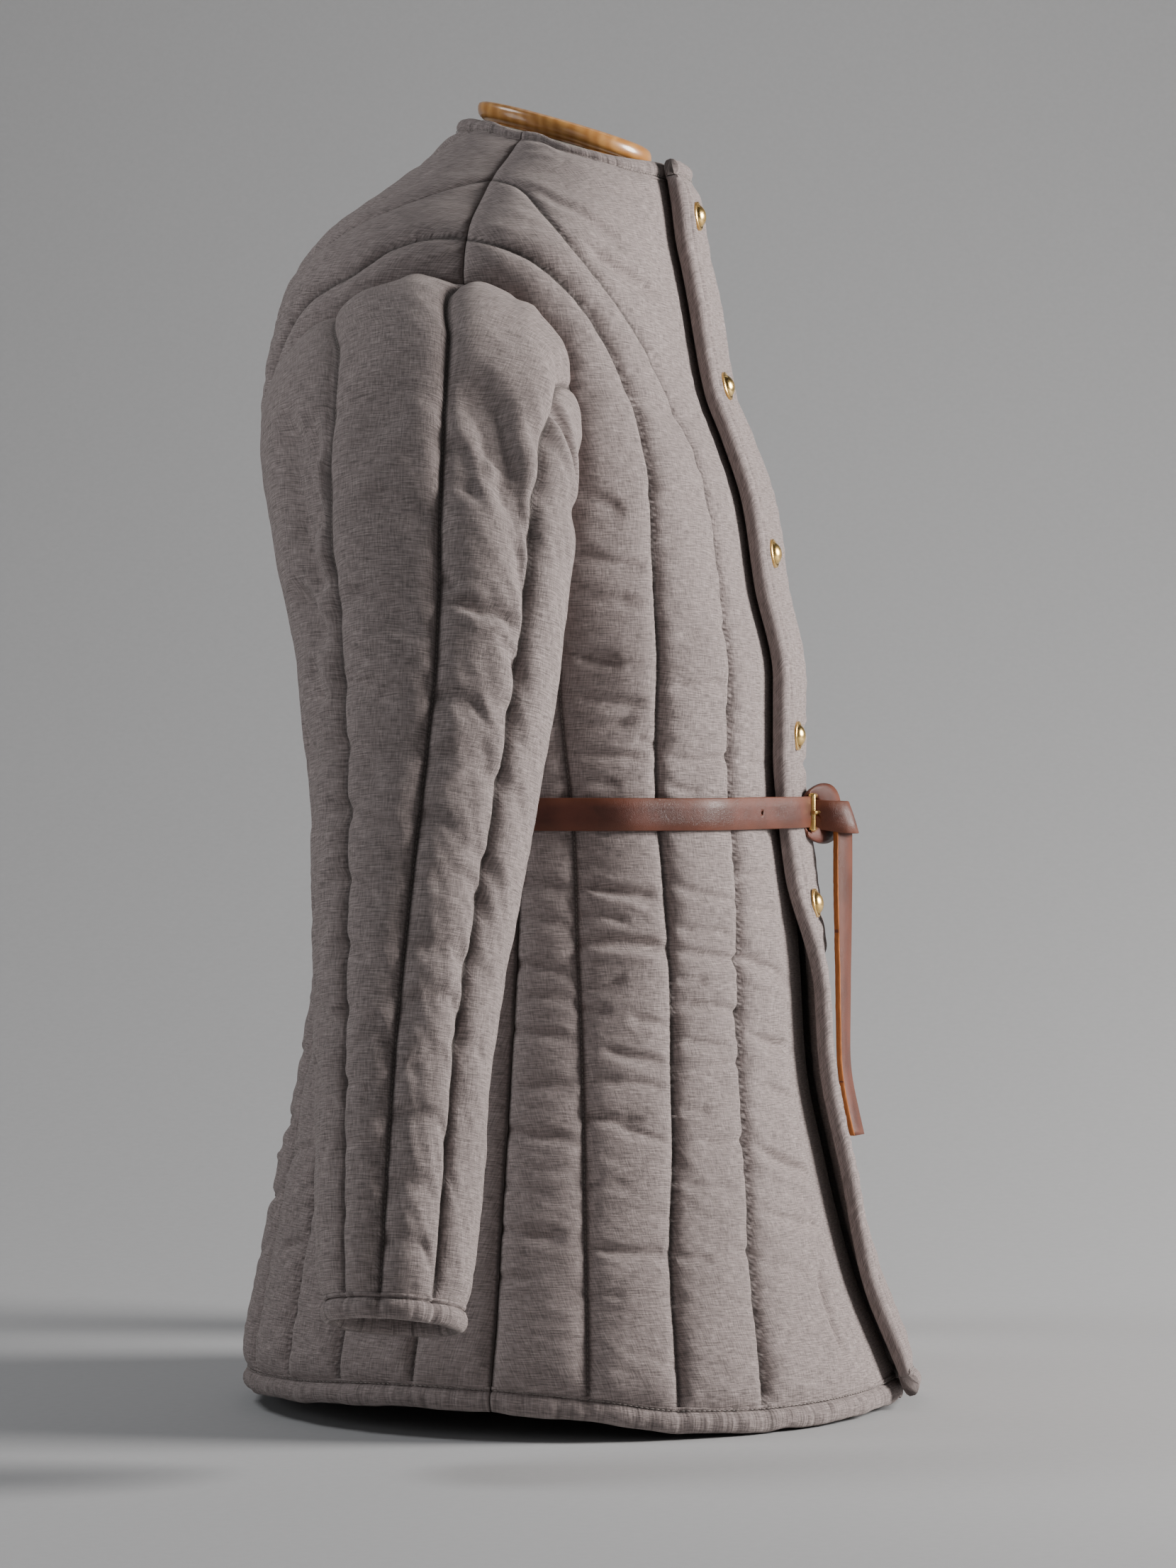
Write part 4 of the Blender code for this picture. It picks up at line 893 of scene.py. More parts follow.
def linen(name, colour, seams):
    """Undyed, slightly warm grey linen with slubs and specks and painted shade between its threads, puckered and with
    painted shade along its seams' folds; or without seams and cross-ribbed, with painted shade in the ribs' valleys,
    for a binding."""
    material, tree, shader = new_material(
        name, 0.92, Sheen_Weight=0.22, Sheen_Roughness=0.45, Specular_IOR_Level=0.22
    )
    shader.inputs["Sheen Tint"].default_value = (0.9, 0.82, 0.76, 1.0)
    cut = uv_map(tree, "cut")
    weave = placed(tree, WEAVE, Cut=cut, Pitch_mm=THREAD_PITCH)
    soil = placed(tree, GRIME, Place=object_place(tree), Size_mm=85.0)
    base = mixed(tree, remap(tree, weave["Thread"], 0.34, 0.68), shade(colour, 0.78), shade(colour, 1.25))
    base = mixed(tree, remap(tree, weave["Coarse"], 0.5, 0.36, 0.0, 0.6), base, shade(colour, 0.35))
    base = mixed(tree, remap(tree, weave["Coarse"], 0.52, 0.66, 0.0, 0.55), base, shade(colour, 1.8))
    # painted shade: the weave's low places between its threads are darkened
    gap_shade = remap(tree, weave["Height"], 0.15, 0.75, 0.55, 0.0)
    base = mixed(tree, gap_shade, base, shade(colour, 0.45))
    base = mixed(tree, remap(tree, soil["Patch"], 0.35, 0.7, 0.0, 0.22), base, shade(colour, 0.66))
    base = mixed(tree, times(tree, weave["Slub"], 0.7), base, LINEN_PALE)
    base = mixed(tree, times(tree, weave["Speck"], 0.75), base, SPECK_COLOUR)
    base = mixed(tree, times(tree, soil["Edge"], 0.16), base, shade(colour, 1.5))
    crumple = noise(tree, cut, (46, 105, 1), 3.0, 0.6)
    crumple = maths(tree, "ABSOLUTE", maths(tree, "SUBTRACT", crumple, 0.5))
    bumps = [(crumple, 4.0, 0.55), (weave["Height"], 0.26, 0.9)]
    if seams:
        seam = placed(tree, PULLED, Seam=uv_map(tree, "seam"))
        # painted shade: the cloth is darkened along each seam's fold, where the groove's shadow falls
        base = mixed(tree, times(tree, seam["Fold shade"], 0.75), base, shade(colour, 0.22))
        bumps.insert(0, (seam["Height"], 0.6, 0.8))
    else:
        ribs = noise(tree, cut, (165, 16, 1), 2.0, 0.6, shift=(4, 2, 0))
        # painted shade: the binding is darkened in the valleys between its ribs
        base = mixed(tree, remap(tree, ribs, 0.47, 0.32, 0.0, 0.6), base, shade(colour, 0.35))
        bumps.insert(0, (ribs, 3.2, 0.75))
    feed(tree, base, shader.inputs["Base Color"])
    bumped(tree, shader, bumps)
    return material


def thread_material():
    material, tree, shader = new_material("sewing thread", 0.72, Sheen_Weight=0.3, Specular_IOR_Level=0.3)
    twist = noise(tree, object_place(tree), (900, 900, 2400), 2.0)
    feed(tree, mixed(tree, twist, (0.17, 0.145, 0.13, 1), (0.33, 0.29, 0.265, 1)), shader.inputs["Base Color"])
    bumped(tree, shader, [(twist, 0.1, 0.6)])
    return material


WORN_LEATHER = (0.26, 0.09, 0.045, 1)


def leather_material(name, face, raw=None):
    """Oiled belt leather: fine grain, darker creases, worn paler on its edges; raw gives its fibrous cut edge."""
    material, tree, shader = new_material(name, 0.46, Specular_IOR_Level=0.36)
    place = object_place(tree)
    cells = tree.nodes.new("ShaderNodeTexVoronoi")
    cells.feature = "DISTANCE_TO_EDGE"
    cells.inputs["Scale"].default_value = 1350.0
    feed(tree, place, cells.inputs["Vector"])
    grain = remap(tree, cells.outputs["Distance"], 0.0, 0.16)
    soil = placed(tree, GRIME, Place=place, Size_mm=22.0)
    creases = noise(tree, place, (420, 420, 130), 4.0, 0.62)
    base = mixed(tree, remap(tree, soil["Patch"], 0.35, 0.68), shade(face, 0.72), shade(face, 1.3))
    base = mixed(tree, remap(tree, creases, 0.62, 0.75, 0.0, 0.35), base, shade(face, 0.45))
    base = mixed(tree, times(tree, soil["Edge"], 0.3), base, WORN_LEATHER)
    roughness = remap(tree, soil["Patch"], 0.3, 0.7, 0.34, 0.5)
    bumps = [(plus(tree, grain, times(tree, creases, 1.4)), 0.09, 0.55)]
    if raw:
        fibres = noise(tree, place, (900, 900, 160), 3.0, 0.7)
        base = mixed(tree, fibres, shade(raw, 0.5), shade(raw, 1.6))
        roughness = remap(tree, fibres, 0, 1, 0.75, 0.95)
        bumps = [(fibres, 0.35, 0.8)]
    feed(tree, base, shader.inputs["Base Color"])
    feed(tree, roughness, shader.inputs["Roughness"])
    bumped(tree, shader, bumps)
    return material


def brass_material():
    material, tree, shader = new_material("brass", 0.27, 1.0)
    place = object_place(tree)
    soil = placed(tree, GRIME, Place=place, Size_mm=7.0)
    fine = noise(tree, place, (2600, 2600, 2600), 2.0)
    base = mixed(tree, remap(tree, soil["Patch"], 0.35, 0.75), (0.86, 0.60, 0.235, 1), (0.60, 0.365, 0.115, 1))
    base = mixed(tree, times(tree, soil["Hollow"], 0.75), base, (0.13, 0.075, 0.03, 1))
    feed(tree, base, shader.inputs["Base Color"])
    feed(tree, remap(tree, plus(tree, fine, soil["Patch"]), 0.7, 1.4, 0.2, 0.4), shader.inputs["Roughness"])
    bumped(tree, shader, [(fine, 0.02, 0.35)])
    return material


def wood_material():
    material, tree, shader = new_material("varnished wood", 0.34, Coat_Weight=0.6, Coat_Roughness=0.12)
    place = object_place(tree)
    bend = noise(tree, place, (6, 55, 55), 3.0)
    rings = tree.nodes.new("ShaderNodeTexWave")
    rings.wave_type, rings.bands_direction = "BANDS", "Y"
    rings.inputs["Scale"].default_value = 42.0
    rings.inputs["Distortion"].default_value = 5.0
    rings.inputs["Detail"].default_value = 3.0
    rings.inputs["Detail Scale"].default_value = 1.6
    feed(tree, scaled(tree, place, (0.22, 1, 1)), rings.inputs["Vector"])
    pores = noise(tree, place, (60, 1900, 1900), 2.0)
    base = mixed(tree, rings.outputs["Fac"], (0.50, 0.225, 0.062, 1), (0.66, 0.335, 0.105, 1))
    base = mixed(tree, remap(tree, bend, 0.35, 0.7, 0.0, 0.45), base, (0.40, 0.165, 0.042, 1))
    base = mixed(tree, remap(tree, pores, 0.62, 0.74, 0.0, 0.55), base, (0.23, 0.085, 0.022, 1))
    feed(tree, base, shader.inputs["Base Color"])
    bumped(tree, shader, [(pores, 0.05, 0.25)])
    return material


def form_cloth_material():
    material, tree, shader = new_material("dress form cloth", 0.9, Sheen_Weight=0.2, Specular_IOR_Level=0.25)
    place = object_place(tree)
    knit = tree.nodes.new("ShaderNodeTexWave")
    knit.wave_type, knit.bands_direction = "BANDS", "Z"
    knit.inputs["Scale"].default_value = 300.0
    knit.inputs["Distortion"].default_value = 1.0
    feed(tree, place, knit.inputs["Vector"])
    soil = placed(tree, GRIME, Place=place, Size_mm=60.0)
    base = mixed(tree, remap(tree, soil["Patch"], 0.35, 0.7), (0.60, 0.55, 0.47, 1), (0.52, 0.47, 0.40, 1))
    base = mixed(tree, times(tree, knit.outputs["Fac"], 0.18), base, (0.40, 0.35, 0.29, 1))
    feed(tree, base, shader.inputs["Base Color"])
    bumped(tree, shader, [(knit.outputs["Fac"], 0.12, 0.6)])
    return material


def steel_material():
    material, tree, shader = new_material("satin grey steel", 0.42, 0.85)
    place = object_place(tree)
    soil = placed(tree, GRIME, Place=place, Size_mm=35.0)
    fine = noise(tree, place, (1500, 1500, 1500), 2.0)
    base = mixed(tree, remap(tree, soil["Patch"], 0.35, 0.7), (0.33, 0.33, 0.34, 1), (0.26, 0.26, 0.27, 1))
    base = mixed(tree, times(tree, soil["Edge"], 0.5), base, (0.5, 0.5, 0.5, 1))
    feed(tree, base, shader.inputs["Base Color"])
    feed(tree, remap(tree, fine, 0.3, 0.7, 0.36, 0.5), shader.inputs["Roughness"])
    bumped(tree, shader, [(fine, 0.05, 0.25)])
    return material


LINEN = linen("quilted linen", LINEN_COLOUR, seams=True)
BINDING = linen("linen binding", shade(LINEN_COLOUR, 0.9), seams=False)
THREAD = thread_material()
LEATHER = leather_material("belt leather", (0.09, 0.0245, 0.0145, 1))
RAW_LEATHER = leather_material("raw leather edge", (0.118, 0.032, 0.018, 1), raw=(0.36, 0.125, 0.035, 1))
BRASS, WOOD, FORM_CLOTH, STEEL = brass_material(), wood_material(), form_cloth_material(), steel_material()


# The quilted panels ------------------------------------------------------------------------------------------

MERIDIAN = np.concatenate(
    [
        np.zeros((1, 2 * TABLE_Q - 1)),
        np.cumsum(np.hypot(np.linalg.norm(np.diff(TABLE, axis=0), axis=2), TABLE_STEP), axis=0),
    ]
)
BELT_PINCH = 1.6
LEAST_WALL = 2.2
FRONT_EDGE_SOFT = 1.3  # how far the free front edge bulges past its cut
EDGE_TURN = 9.0  # how far the weave's map runs over an edge to the lining


def up_the_cloth(q, z):
    """Length up the cloth from the floor line to a height, along its own meridian."""
    return read_table(MERIDIAN[..., None], q, z)[..., 0]


class Panel:
    """One quilted panel: its outline, its seams and its two faces."""

    def __init__(self, name, outline, inner_lines, seed, creases=(), lap=None, mirror=False):
        self.name, self.outline, self.seed = name, outline, seed
        self.inner_lines, self.creases, self.lap, self.mirror = inner_lines, creases, lap, mirror
        self.seams = seam_lines(outline, inner_lines)
        spacing = FABRIC_STEP * (BACK_COARSER if outline.back else 1)
        self.q, self.z, self.cut, self.triangles = filled(outline, spacing, inner_lines)
        self.outer, self.seam_map = self.face(self.q, self.z, self.cut)

    def raised(self, q, z):
        """How far the lap lifts the left front, or flattens the right one."""
        from_centre = flat_cut(q, z)[..., 0]
        if self.lap == "over":
            fade = 85 - 52 * step(z, 590, 650)
            rise = 1 - step(from_centre, LAP_WIDTH, LAP_WIDTH + fade)
            from_edge = from_centre + left_edge(z)
            open_out = FLAP_OUT * step(FLAP_OPENS_AT + 5 - z, 0, 80) * (0.5 + 0.5 * step(z, 60, 160))
            open_out *= 1 - step(from_edge, 2, 36)
            return rise, FLAP_LIFT * (1 - step(from_edge, 0, 22)) + open_out
        return 1 - step(from_centre, LAP_WIDTH - 1, 55), 0 * q

    def heights(self, q, z, cut):
        height, seam_map = quilted(cut, self.seams, self.seed)
        height += creased(cut, self.creases)
        if self.lap:
            rise, lift = self.raised(q, z)
            if self.lap == "over":
                height = GROOVE + (height - GROOVE) * (1 - 0.25 * rise) + LAP_RISE * rise + lift
                from_edge = flat_cut(q, z)[..., 0] + left_edge(z)
                height -= 2.2 * np.exp(-(((from_edge - TOPSTITCH_IN) / 1.6) ** 2))
            else:
                height = GROOVE + (height - GROOVE) * (1 - 0.9 * rise)
        height -= BELT_PINCH * np.exp(-(((z - BELT_HEIGHT) / 14) ** 2))
        return np.maximum(height, LINING + LEAST_WALL), seam_map

    def raised_by(self, q, z, height):
        """Points at a height over the body surface, kept a hair clear of the next panel at the side seams."""
        q = np.clip(q, -2 + SEAM_GAP_Q, -SEAM_GAP_Q) if self.outline.back else np.maximum(q, SEAM_GAP_Q)
        return on_body(q, z) + body_normal(q, z) * height[:, None]

    def face(self, q, z, cut):
        height, seam_map = self.heights(q, z, cut)
        return self.raised_by(q, z, height), seam_map

    def lining(self, q, z):
        height = LINING + 0 * q
        if self.lap == "over":
            rise, lift = self.raised(q, z)
            height = LINING + LAP_UNDER * rise + lift
        return self.raised_by(q, z, height)

    def build(self, material):
        n = len(self.outline.q)
        iq, iz, icut, inner_triangles = filled(self.outline, LINING_STEP)
        inner = self.lining(iq, iz)
        triangles = self.triangles
        a, b, c = (self.outer[triangles[:, k]] for k in range(3))
        way = np.cross(b - a, c - a)
        middle = self.outer[triangles].mean(1)
        outwards = middle - np.array([0, -20.0, 0]) - middle * (0, 0, 1)
        facing = np.sign(np.median((way * outwards).sum(1)))
        if facing < 0:
            triangles, inner_triangles = triangles[:, ::-1], inner_triangles[:, ::-1]
        rim = self.outer[:n] - inner[:n]
        along = np.roll(self.outer[:n], -1, 0) - np.roll(self.outer[:n], 1, 0)
        out = np.cross(rim, along)
        out /= np.linalg.norm(out, axis=1, keepdims=True)
        if (out * (self.outer[:n] - self.outer[:n].mean(0))).sum() < 0:
            out = -out
        soft = np.where(np.array(self.outline.run) == "front edge", FRONT_EDGE_SOFT, 0.0)[:, None]
        rims = ((0.2, 0.75), (0.5, 1), (0.8, 0.75))
        rings = [self.outer[:n] - rim * share + out * soft * bulge for share, bulge in rims]
        verts = np.concatenate([self.outer, inner, *rings])
        base = len(self.outer)
        faces = [tuple(t) for t in triangles] + [tuple(t[::-1] + base) for t in inner_triangles]
        starts = [0, *(base + len(inner) + n * k for k in range(3)), base]
        for low, high in zip(starts, starts[1:]):
            faces += [(low + k, low + (k + 1) % n, high + (k + 1) % n, high + k) for k in range(n)]
        flat = np.stack([self.cut[:, 0], up_the_cloth(self.q, self.z)], 1)
        flat_inner = np.stack([icut[:, 0], up_the_cloth(iq, iz)], 1) + EDGE_TURN
        uv = np.concatenate([flat, flat_inner, *(flat[:n] + EDGE_TURN * share for share, _ in rims)]) * MM
        seam = np.concatenate([self.seam_map, np.full((len(inner) + 3 * n, 2), FAR_FROM_SEAM)]) * MM
        if self.mirror:
            verts = mirrored(verts)
        piece = put(self.name, verts, faces, material, [("cut", uv), ("seam", seam)])
        return outward(piece)

    def edge(self, label):
        """Outer and lining points of a named run of the outline, in order, with the run's last corner."""
        which = self.outline.where(label)
        n = len(self.outline.q)
        breaks = np.where(np.diff(which) > 1)[0]
        if len(breaks):
            which = np.concatenate([which[breaks[0] + 1 :], which[: breaks[0] + 1]])
        which = np.append(which, (which[-1] + 1) % n)
        q, z = self.outline.q[which], self.outline.z[which]
        return self.outer[which], self.lining(q, z), body_normal(q, z)


# Main creases of the worn cloth, on the flat cut in mm: from x, z to x, z, then width, depth and bow.
RIGHT_CREASES = [
    (209, 342, 158, 332, 4.2, 1.9, 2), (207, 335, 170, 326, 3.2, -0.8, 1), (212, 323, 183, 317, 3, 1.1, -1),
    (217, 305, 156, 300, 4.6, 1.9, -3), (216, 298, 163, 293, 4, -0.9, -2), (216, 276, 191, 284, 3, 1, 1),
    (223, 269, 202, 264, 2.8, 1.1, 1), (191, 258, 163, 252, 3, 0.9, -2), (210, 242, 167, 232, 3.6, 1.2, 2),
    (219, 222, 171, 215, 3.4, 1.1, -2), (232, 204, 195, 198, 3.4, 1.6, 2), (212, 196, 177, 184, 3, 0.9, 1),
    (243, 161, 214, 162, 3, 0.7, 1), (249, 125, 197, 119, 3.8, 1.4, 2), (219, 144, 190, 140, 3, 0.7, -1),
    (260, 98, 236, 95, 3, 0.8, 1), (255, 350, 214, 338, 4.6, 1.7, 2), (248, 322, 216, 316, 3.6, 1.2, 1),
    (274, 293, 221, 286, 4, 1.4, -2), (253, 274, 222, 272, 3, 0.9, 1), (265, 254, 225, 250, 3.8, 1.3, 2),
    (266, 218, 229, 222, 3.4, 1, 1), (282, 194, 238, 190, 4, 1.5, 2), (293, 161, 263, 156, 3, 0.8, 0),
    (302, 136, 262, 131, 3.8, 1.3, 2), (311, 107, 285, 106, 3, 0.9, 0), (148, 338, 95, 328, 3.4, 1, 1),
    (152, 312, 106, 308, 3.2, 1.1, -1), (155, 300, 68, 293, 4.2, 1.6, 3), (155, 282, 134, 282, 2.8, 0.9, 1),
    (157, 266, 94, 258, 3.4, 1.1, -2), (159, 246, 110, 239, 3.2, 1, 1), (150, 227, 100, 230, 3, 0.8, -1),
    (166, 202, 145, 203, 2.8, 0.8, 0), (163, 184, 107, 185, 3.2, 0.9, 2), (178, 160, 138, 155, 3, 0.8, 1),
    (194, 116, 172, 114, 3, 1, 0), (155, 118, 128, 118, 3, 0.8, 1), (87, 344, 26, 346, 3, 1.2, 1),
    (91, 323, -8, 314, 3.2, 1.1, -1), (93, 293, 5, 275, 3.8, 1.7, 2), (95, 280, 35, 269, 3.2, -0.7, 1),
    (96, 246, 12, 233, 4, 1.8, 2), (99, 215, 29, 197, 3.4, 1.2, -2), (108, 179, 33, 155, 4.2, 1.9, 3),
    (110, 168, 55, 149, 3.2, -0.7, 2), (119, 138, 37, 124, 3.4, 1.1, 1), (129, 108, 86, 102, 3, 0.8, 0),
    (205, 422, 160, 418, 3.6, 1.3, 2), (206, 404, 177, 400, 3.2, 1, -1), (145, 416, 85, 419, 3.4, 1.1, 2),
    (145, 400, 121, 396, 2.8, 0.8, 1), (77, 413, 1, 416, 3, 1.1, 1), (208, 436, 170, 440, 3.2, 1.1, 1),
    (210, 458, 161, 450, 4, 1.3, 3), (211, 478, 183, 474, 3.4, 1, 1), (149, 458, 96, 462, 3.4, 1, -2),
    (147, 491, 80, 500, 3.2, 0.8, 2), (81, 443, 13, 446, 3, 0.9, 1), (153, 728, 87, 704, 5.5, 1.6, 3),
    (159, 766, 112, 730, 7, 0.9, 4), (140, 635, 64, 628, 5, 0.8, 3), (157, 575, 90, 581, 4.5, 0.8, 2),
    (208, 574, 179, 564, 6, 1, -3), (214, 544, 168, 532, 5, 1.1, 3), (217, 509, 172, 512, 4.5, 1.1, -2),
    (224, 486, 186, 478, 4.2, 1.3, 2), (73, 100, 80, 47, 3.2, 1.2, 2), (167, 428, 152, 424, 3, 0.8, 0),
]


def varied(creases, shift, drop, seed, turn=1):
    """Similar creases for a hidden side: every row but a few, moved, turned and resized unevenly."""
    rng = np.random.default_rng(seed)
    rows = []
    for x0, z0, x1, z1, width, depth, bow in creases:
        dx, dz, lean, size, skip = rng.uniform(-1, 1, 5)
        if skip > 0.7:
            continue
        start = (turn * (x0 + shift + 9 * dx), z0 + drop + 13 * dz)
        end = (turn * (x1 + shift + 9 * dx), z1 + drop + 13 * dz + 5 * lean)
        rows.append((*start, *end, width, depth * (1 + 0.3 * size), -bow))
    return rows


LEFT_CREASES = varied(RIGHT_CREASES, 2, -6, 5)
BACK_CREASES = varied(RIGHT_CREASES, -16, 10, 6) + varied(RIGHT_CREASES, -12, -9, 7, turn=-1)

front_right = Panel("front_right_cloth", front_outline(right_edge), FRONT_LINES, 11, RIGHT_CREASES, lap="under")
front_left = Panel("front_left_cloth", front_outline(left_edge), FRONT_LINES, 47, LEFT_CREASES, lap="over", mirror=True)
back = Panel("back_cloth", back_outline(), BACK_LINES, 83, BACK_CREASES)

for panel, node in ((front_right, "front_right"), (front_left, "front_left"), (back, "back")):
    stands_for(panel.build(LINEN), node)


# Bindings ----------------------------------------------------------------------------------------------------


def up_the_wall(normal, sign):
    along = np.array([0, 0, 1.0]) - normal * normal[:, 2:]
    return sign * along / np.linalg.norm(along, axis=1, keepdims=True)


INSIDE_MAP = 25.0  # where a tape's flat map goes on at its inner side


def rolled_tape(outer, inner, along, width, seed, plump, ribs, lip=1.6, closed=False):
    """A binding clipped over a cloth edge, its cross-ribs puffed between their stitches; and its flat map."""
    out = outer - inner
    thick = np.linalg.norm(out, axis=1)
    out /= thick[:, None]
    step_along = np.linalg.norm(np.diff(outer, axis=0, append=outer[:1] if closed else outer[-1:]), axis=1)
    run = np.concatenate([[0], np.cumsum(step_along)[:-1]])
    rib = ribs * (0.9 * along_noise(run, 3.4, seed) + 0.6 * along_noise(run, 9, seed + 1))
    dip = 0.9 * ribs * along_noise(run, 16, seed + 2)
    # across the tape: share of its width down from the cloth edge, height over the cloth, share of the rib, face
    profile = [
        (-lip, 0.85, 0.15, 1),
        (0.0, 0.4, 0.2, 1),
        (0.07, -1.5, 0.3, 1),
        (0.17, 0.7, 0.8, 1),
        (0.36, 1.75, 1.0, 1),
        (0.6, 1.8, 1.0, 1),
        (0.8, 0.9, 0.9, 1),
        (0.94, -0.5, 0.6, 1),
        (1.0, -2.3, 0.3, 1),
        (0.96, 1.2, 0.3, 0),
        (0.8, -0.2, 0.5, 0),
        (0.5, -0.9, 0.8, 0),
        (0.2, -0.8, 0.5, 0),
        (-lip, -0.5, 0.1, 0),
        (-lip * 0.9, -0.12, 0.0, 0),
        (0.05, 0.2, 0.0, 0),
        (0.05, -0.2, 0.0, 1),
        (-lip * 0.9, 0.12, 0.0, 1),
    ]
    sections, flat = [], []
    for share, height, ribbed, face in profile:
        down = share if share < 0 else share * width
        lift = height * (plump if face and 0.1 < share < 0.9 else 1) + (1 if face else -1) * ribbed * rib
        place = (outer if face else inner) + along * down + out * lift[:, None]
        sections.append(place + along * (dip * (share > 0.3))[:, None])
        flat.append(np.stack([run, np.full(len(run), down + (0 if face else INSIDE_MAP))], 1))
    sections = np.stack(sections, 1)
    verts, faces = sweep(sections, closed)
    return verts, faces, np.stack(flat, 1).reshape(-1, 2) * MM, run


def edge_binding(name, node, panel, label, width, seed, plump, ribs):
    outer, inner, normal = panel.edge(label)
    along = up_the_wall(normal, -1 if label == "hem" else 1)
    verts, faces, flat, run = rolled_tape(outer, inner, along, width, seed, plump, ribs)
    verts = mirrored(verts) if panel.mirror else verts
    piece = outward(put(name, verts, faces, BINDING, [("cut", flat)]))
    return stands_for(piece, node), run[-1]


BINDINGS = {}
for seed, (panel, side) in enumerate(((front_right, "right"), (front_left, "left"), (back, "back"))):
    for label, width, plump, ribs in (("hem", HEM_BINDING, 1.25, 0.85), ("neck", NECK_BINDING, 0.95, 0.35)):
        node = f"{label}_binding_{side}"
        name = f"{label}_tape_{side}"
        BINDINGS[node] = edge_binding(name, node, panel, label, width, 300 + 7 * seed, plump, ribs)


# Sleeves -----------------------------------------------------------------------------------------------------

SLEEVE_COLUMNS, SLEEVE_ROWS = 204, 236
# Where each line runs: its angle at the armhole, then at four rings down to the cuff.
LINE_TURNS = np.array([
    (270, 335, 399.5, 449, 488, 560, 630),
    (270, 330, 385, 433, 475, 552, 630),
    (270, 330, 388, 433, 481, 548, 630),
    (270, 330, 390, 434, 484, 546, 630),
    (270, 332, 396, 444, 479, 546, 630),
])
TURN_RINGS = (0, 2.2, 4, 6.5, 9)


def sleeve_ellipse(at, angle, rise):
    """Points round the sleeve at ring `at`, each pushed out of the ring's ellipse by its `rise`."""
    x1, z1, x0, z0, y, depth = (float(curve(np.arange(10), SLEEVE_RINGS[:, i], at)) for i in range(6))
    width = math.hypot(x1 - x0, z1 - z0) / 2
    out = np.array([x1 - x0, 0, z1 - z0]) / (2 * width)
    centre = np.array([(x0 + x1) / 2, y, (z0 + z1) / 2])
    a = np.radians(angle)[:, None]
    rise = np.asarray(rise, float).reshape(-1, 1)
    return centre - np.array([0, 1.0, 0]) * (depth + rise) * np.cos(a) + out * (width + rise) * np.sin(a)


def armhole_loop(shares, lining):
    """Points on the armhole's edge from the armpit up the front and down the back, drawn a little into it."""
    front, back_half = front_right.edge("armhole"), back.edge("armhole")
    which = 1 if lining else 0
    up_front = front[which][::-1]
    halves = back_half[which]
    down_back = halves[halves[:, 0] < 0] if not lining else halves[back_half[0][:, 0] < 0]
    loop = np.concatenate([up_front, down_back[1:], up_front[:1]])
    run = run_along(loop)
    points = read_at(shares * run[-1], run, loop)
    inward = loop[:-1].mean(0) - points
    return points + inward / np.linalg.norm(inward, axis=1, keepdims=True) * 0.5


def loop_shares(angles):
    """Share of the armhole's edge, from the armpit up the front, that a column at each angle starts from."""
    front_run = np.array(ARMHOLE_FRONT_AT)
    back_run = np.array(ARMHOLE_BACK_AT)[11:0:-1]
    length = [line_length(ARMHOLE_FRONT), line_length(ARMHOLE_BACK)]
    corners = np.concatenate([front_run * length[0], length[0] + (1 - back_run) * length[1], [sum(length)]])
    known_angles, known_places = [], []
    ends = [start for start, _ in SLEEVE_CHANNELS[1:]] + [630]
    for (start, places), end in zip(SLEEVE_CHANNELS, ends):
        for k, place in enumerate(places):
            known_angles.append(start + (end - start) * k / len(places))
            known_places.append(place)
    known_angles.append(630)
    known_places.append(len(corners) - 1)
    at = np.interp(known_places, np.arange(len(corners)), corners) / corners[-1]
    return curve(known_angles, at, angles)


def line_length(points):
    cut = smooth_line(points)
    place = on_body(cut[:, 0], cut[:, 1])
    return float(np.linalg.norm(np.diff(place, axis=0), axis=1).sum())


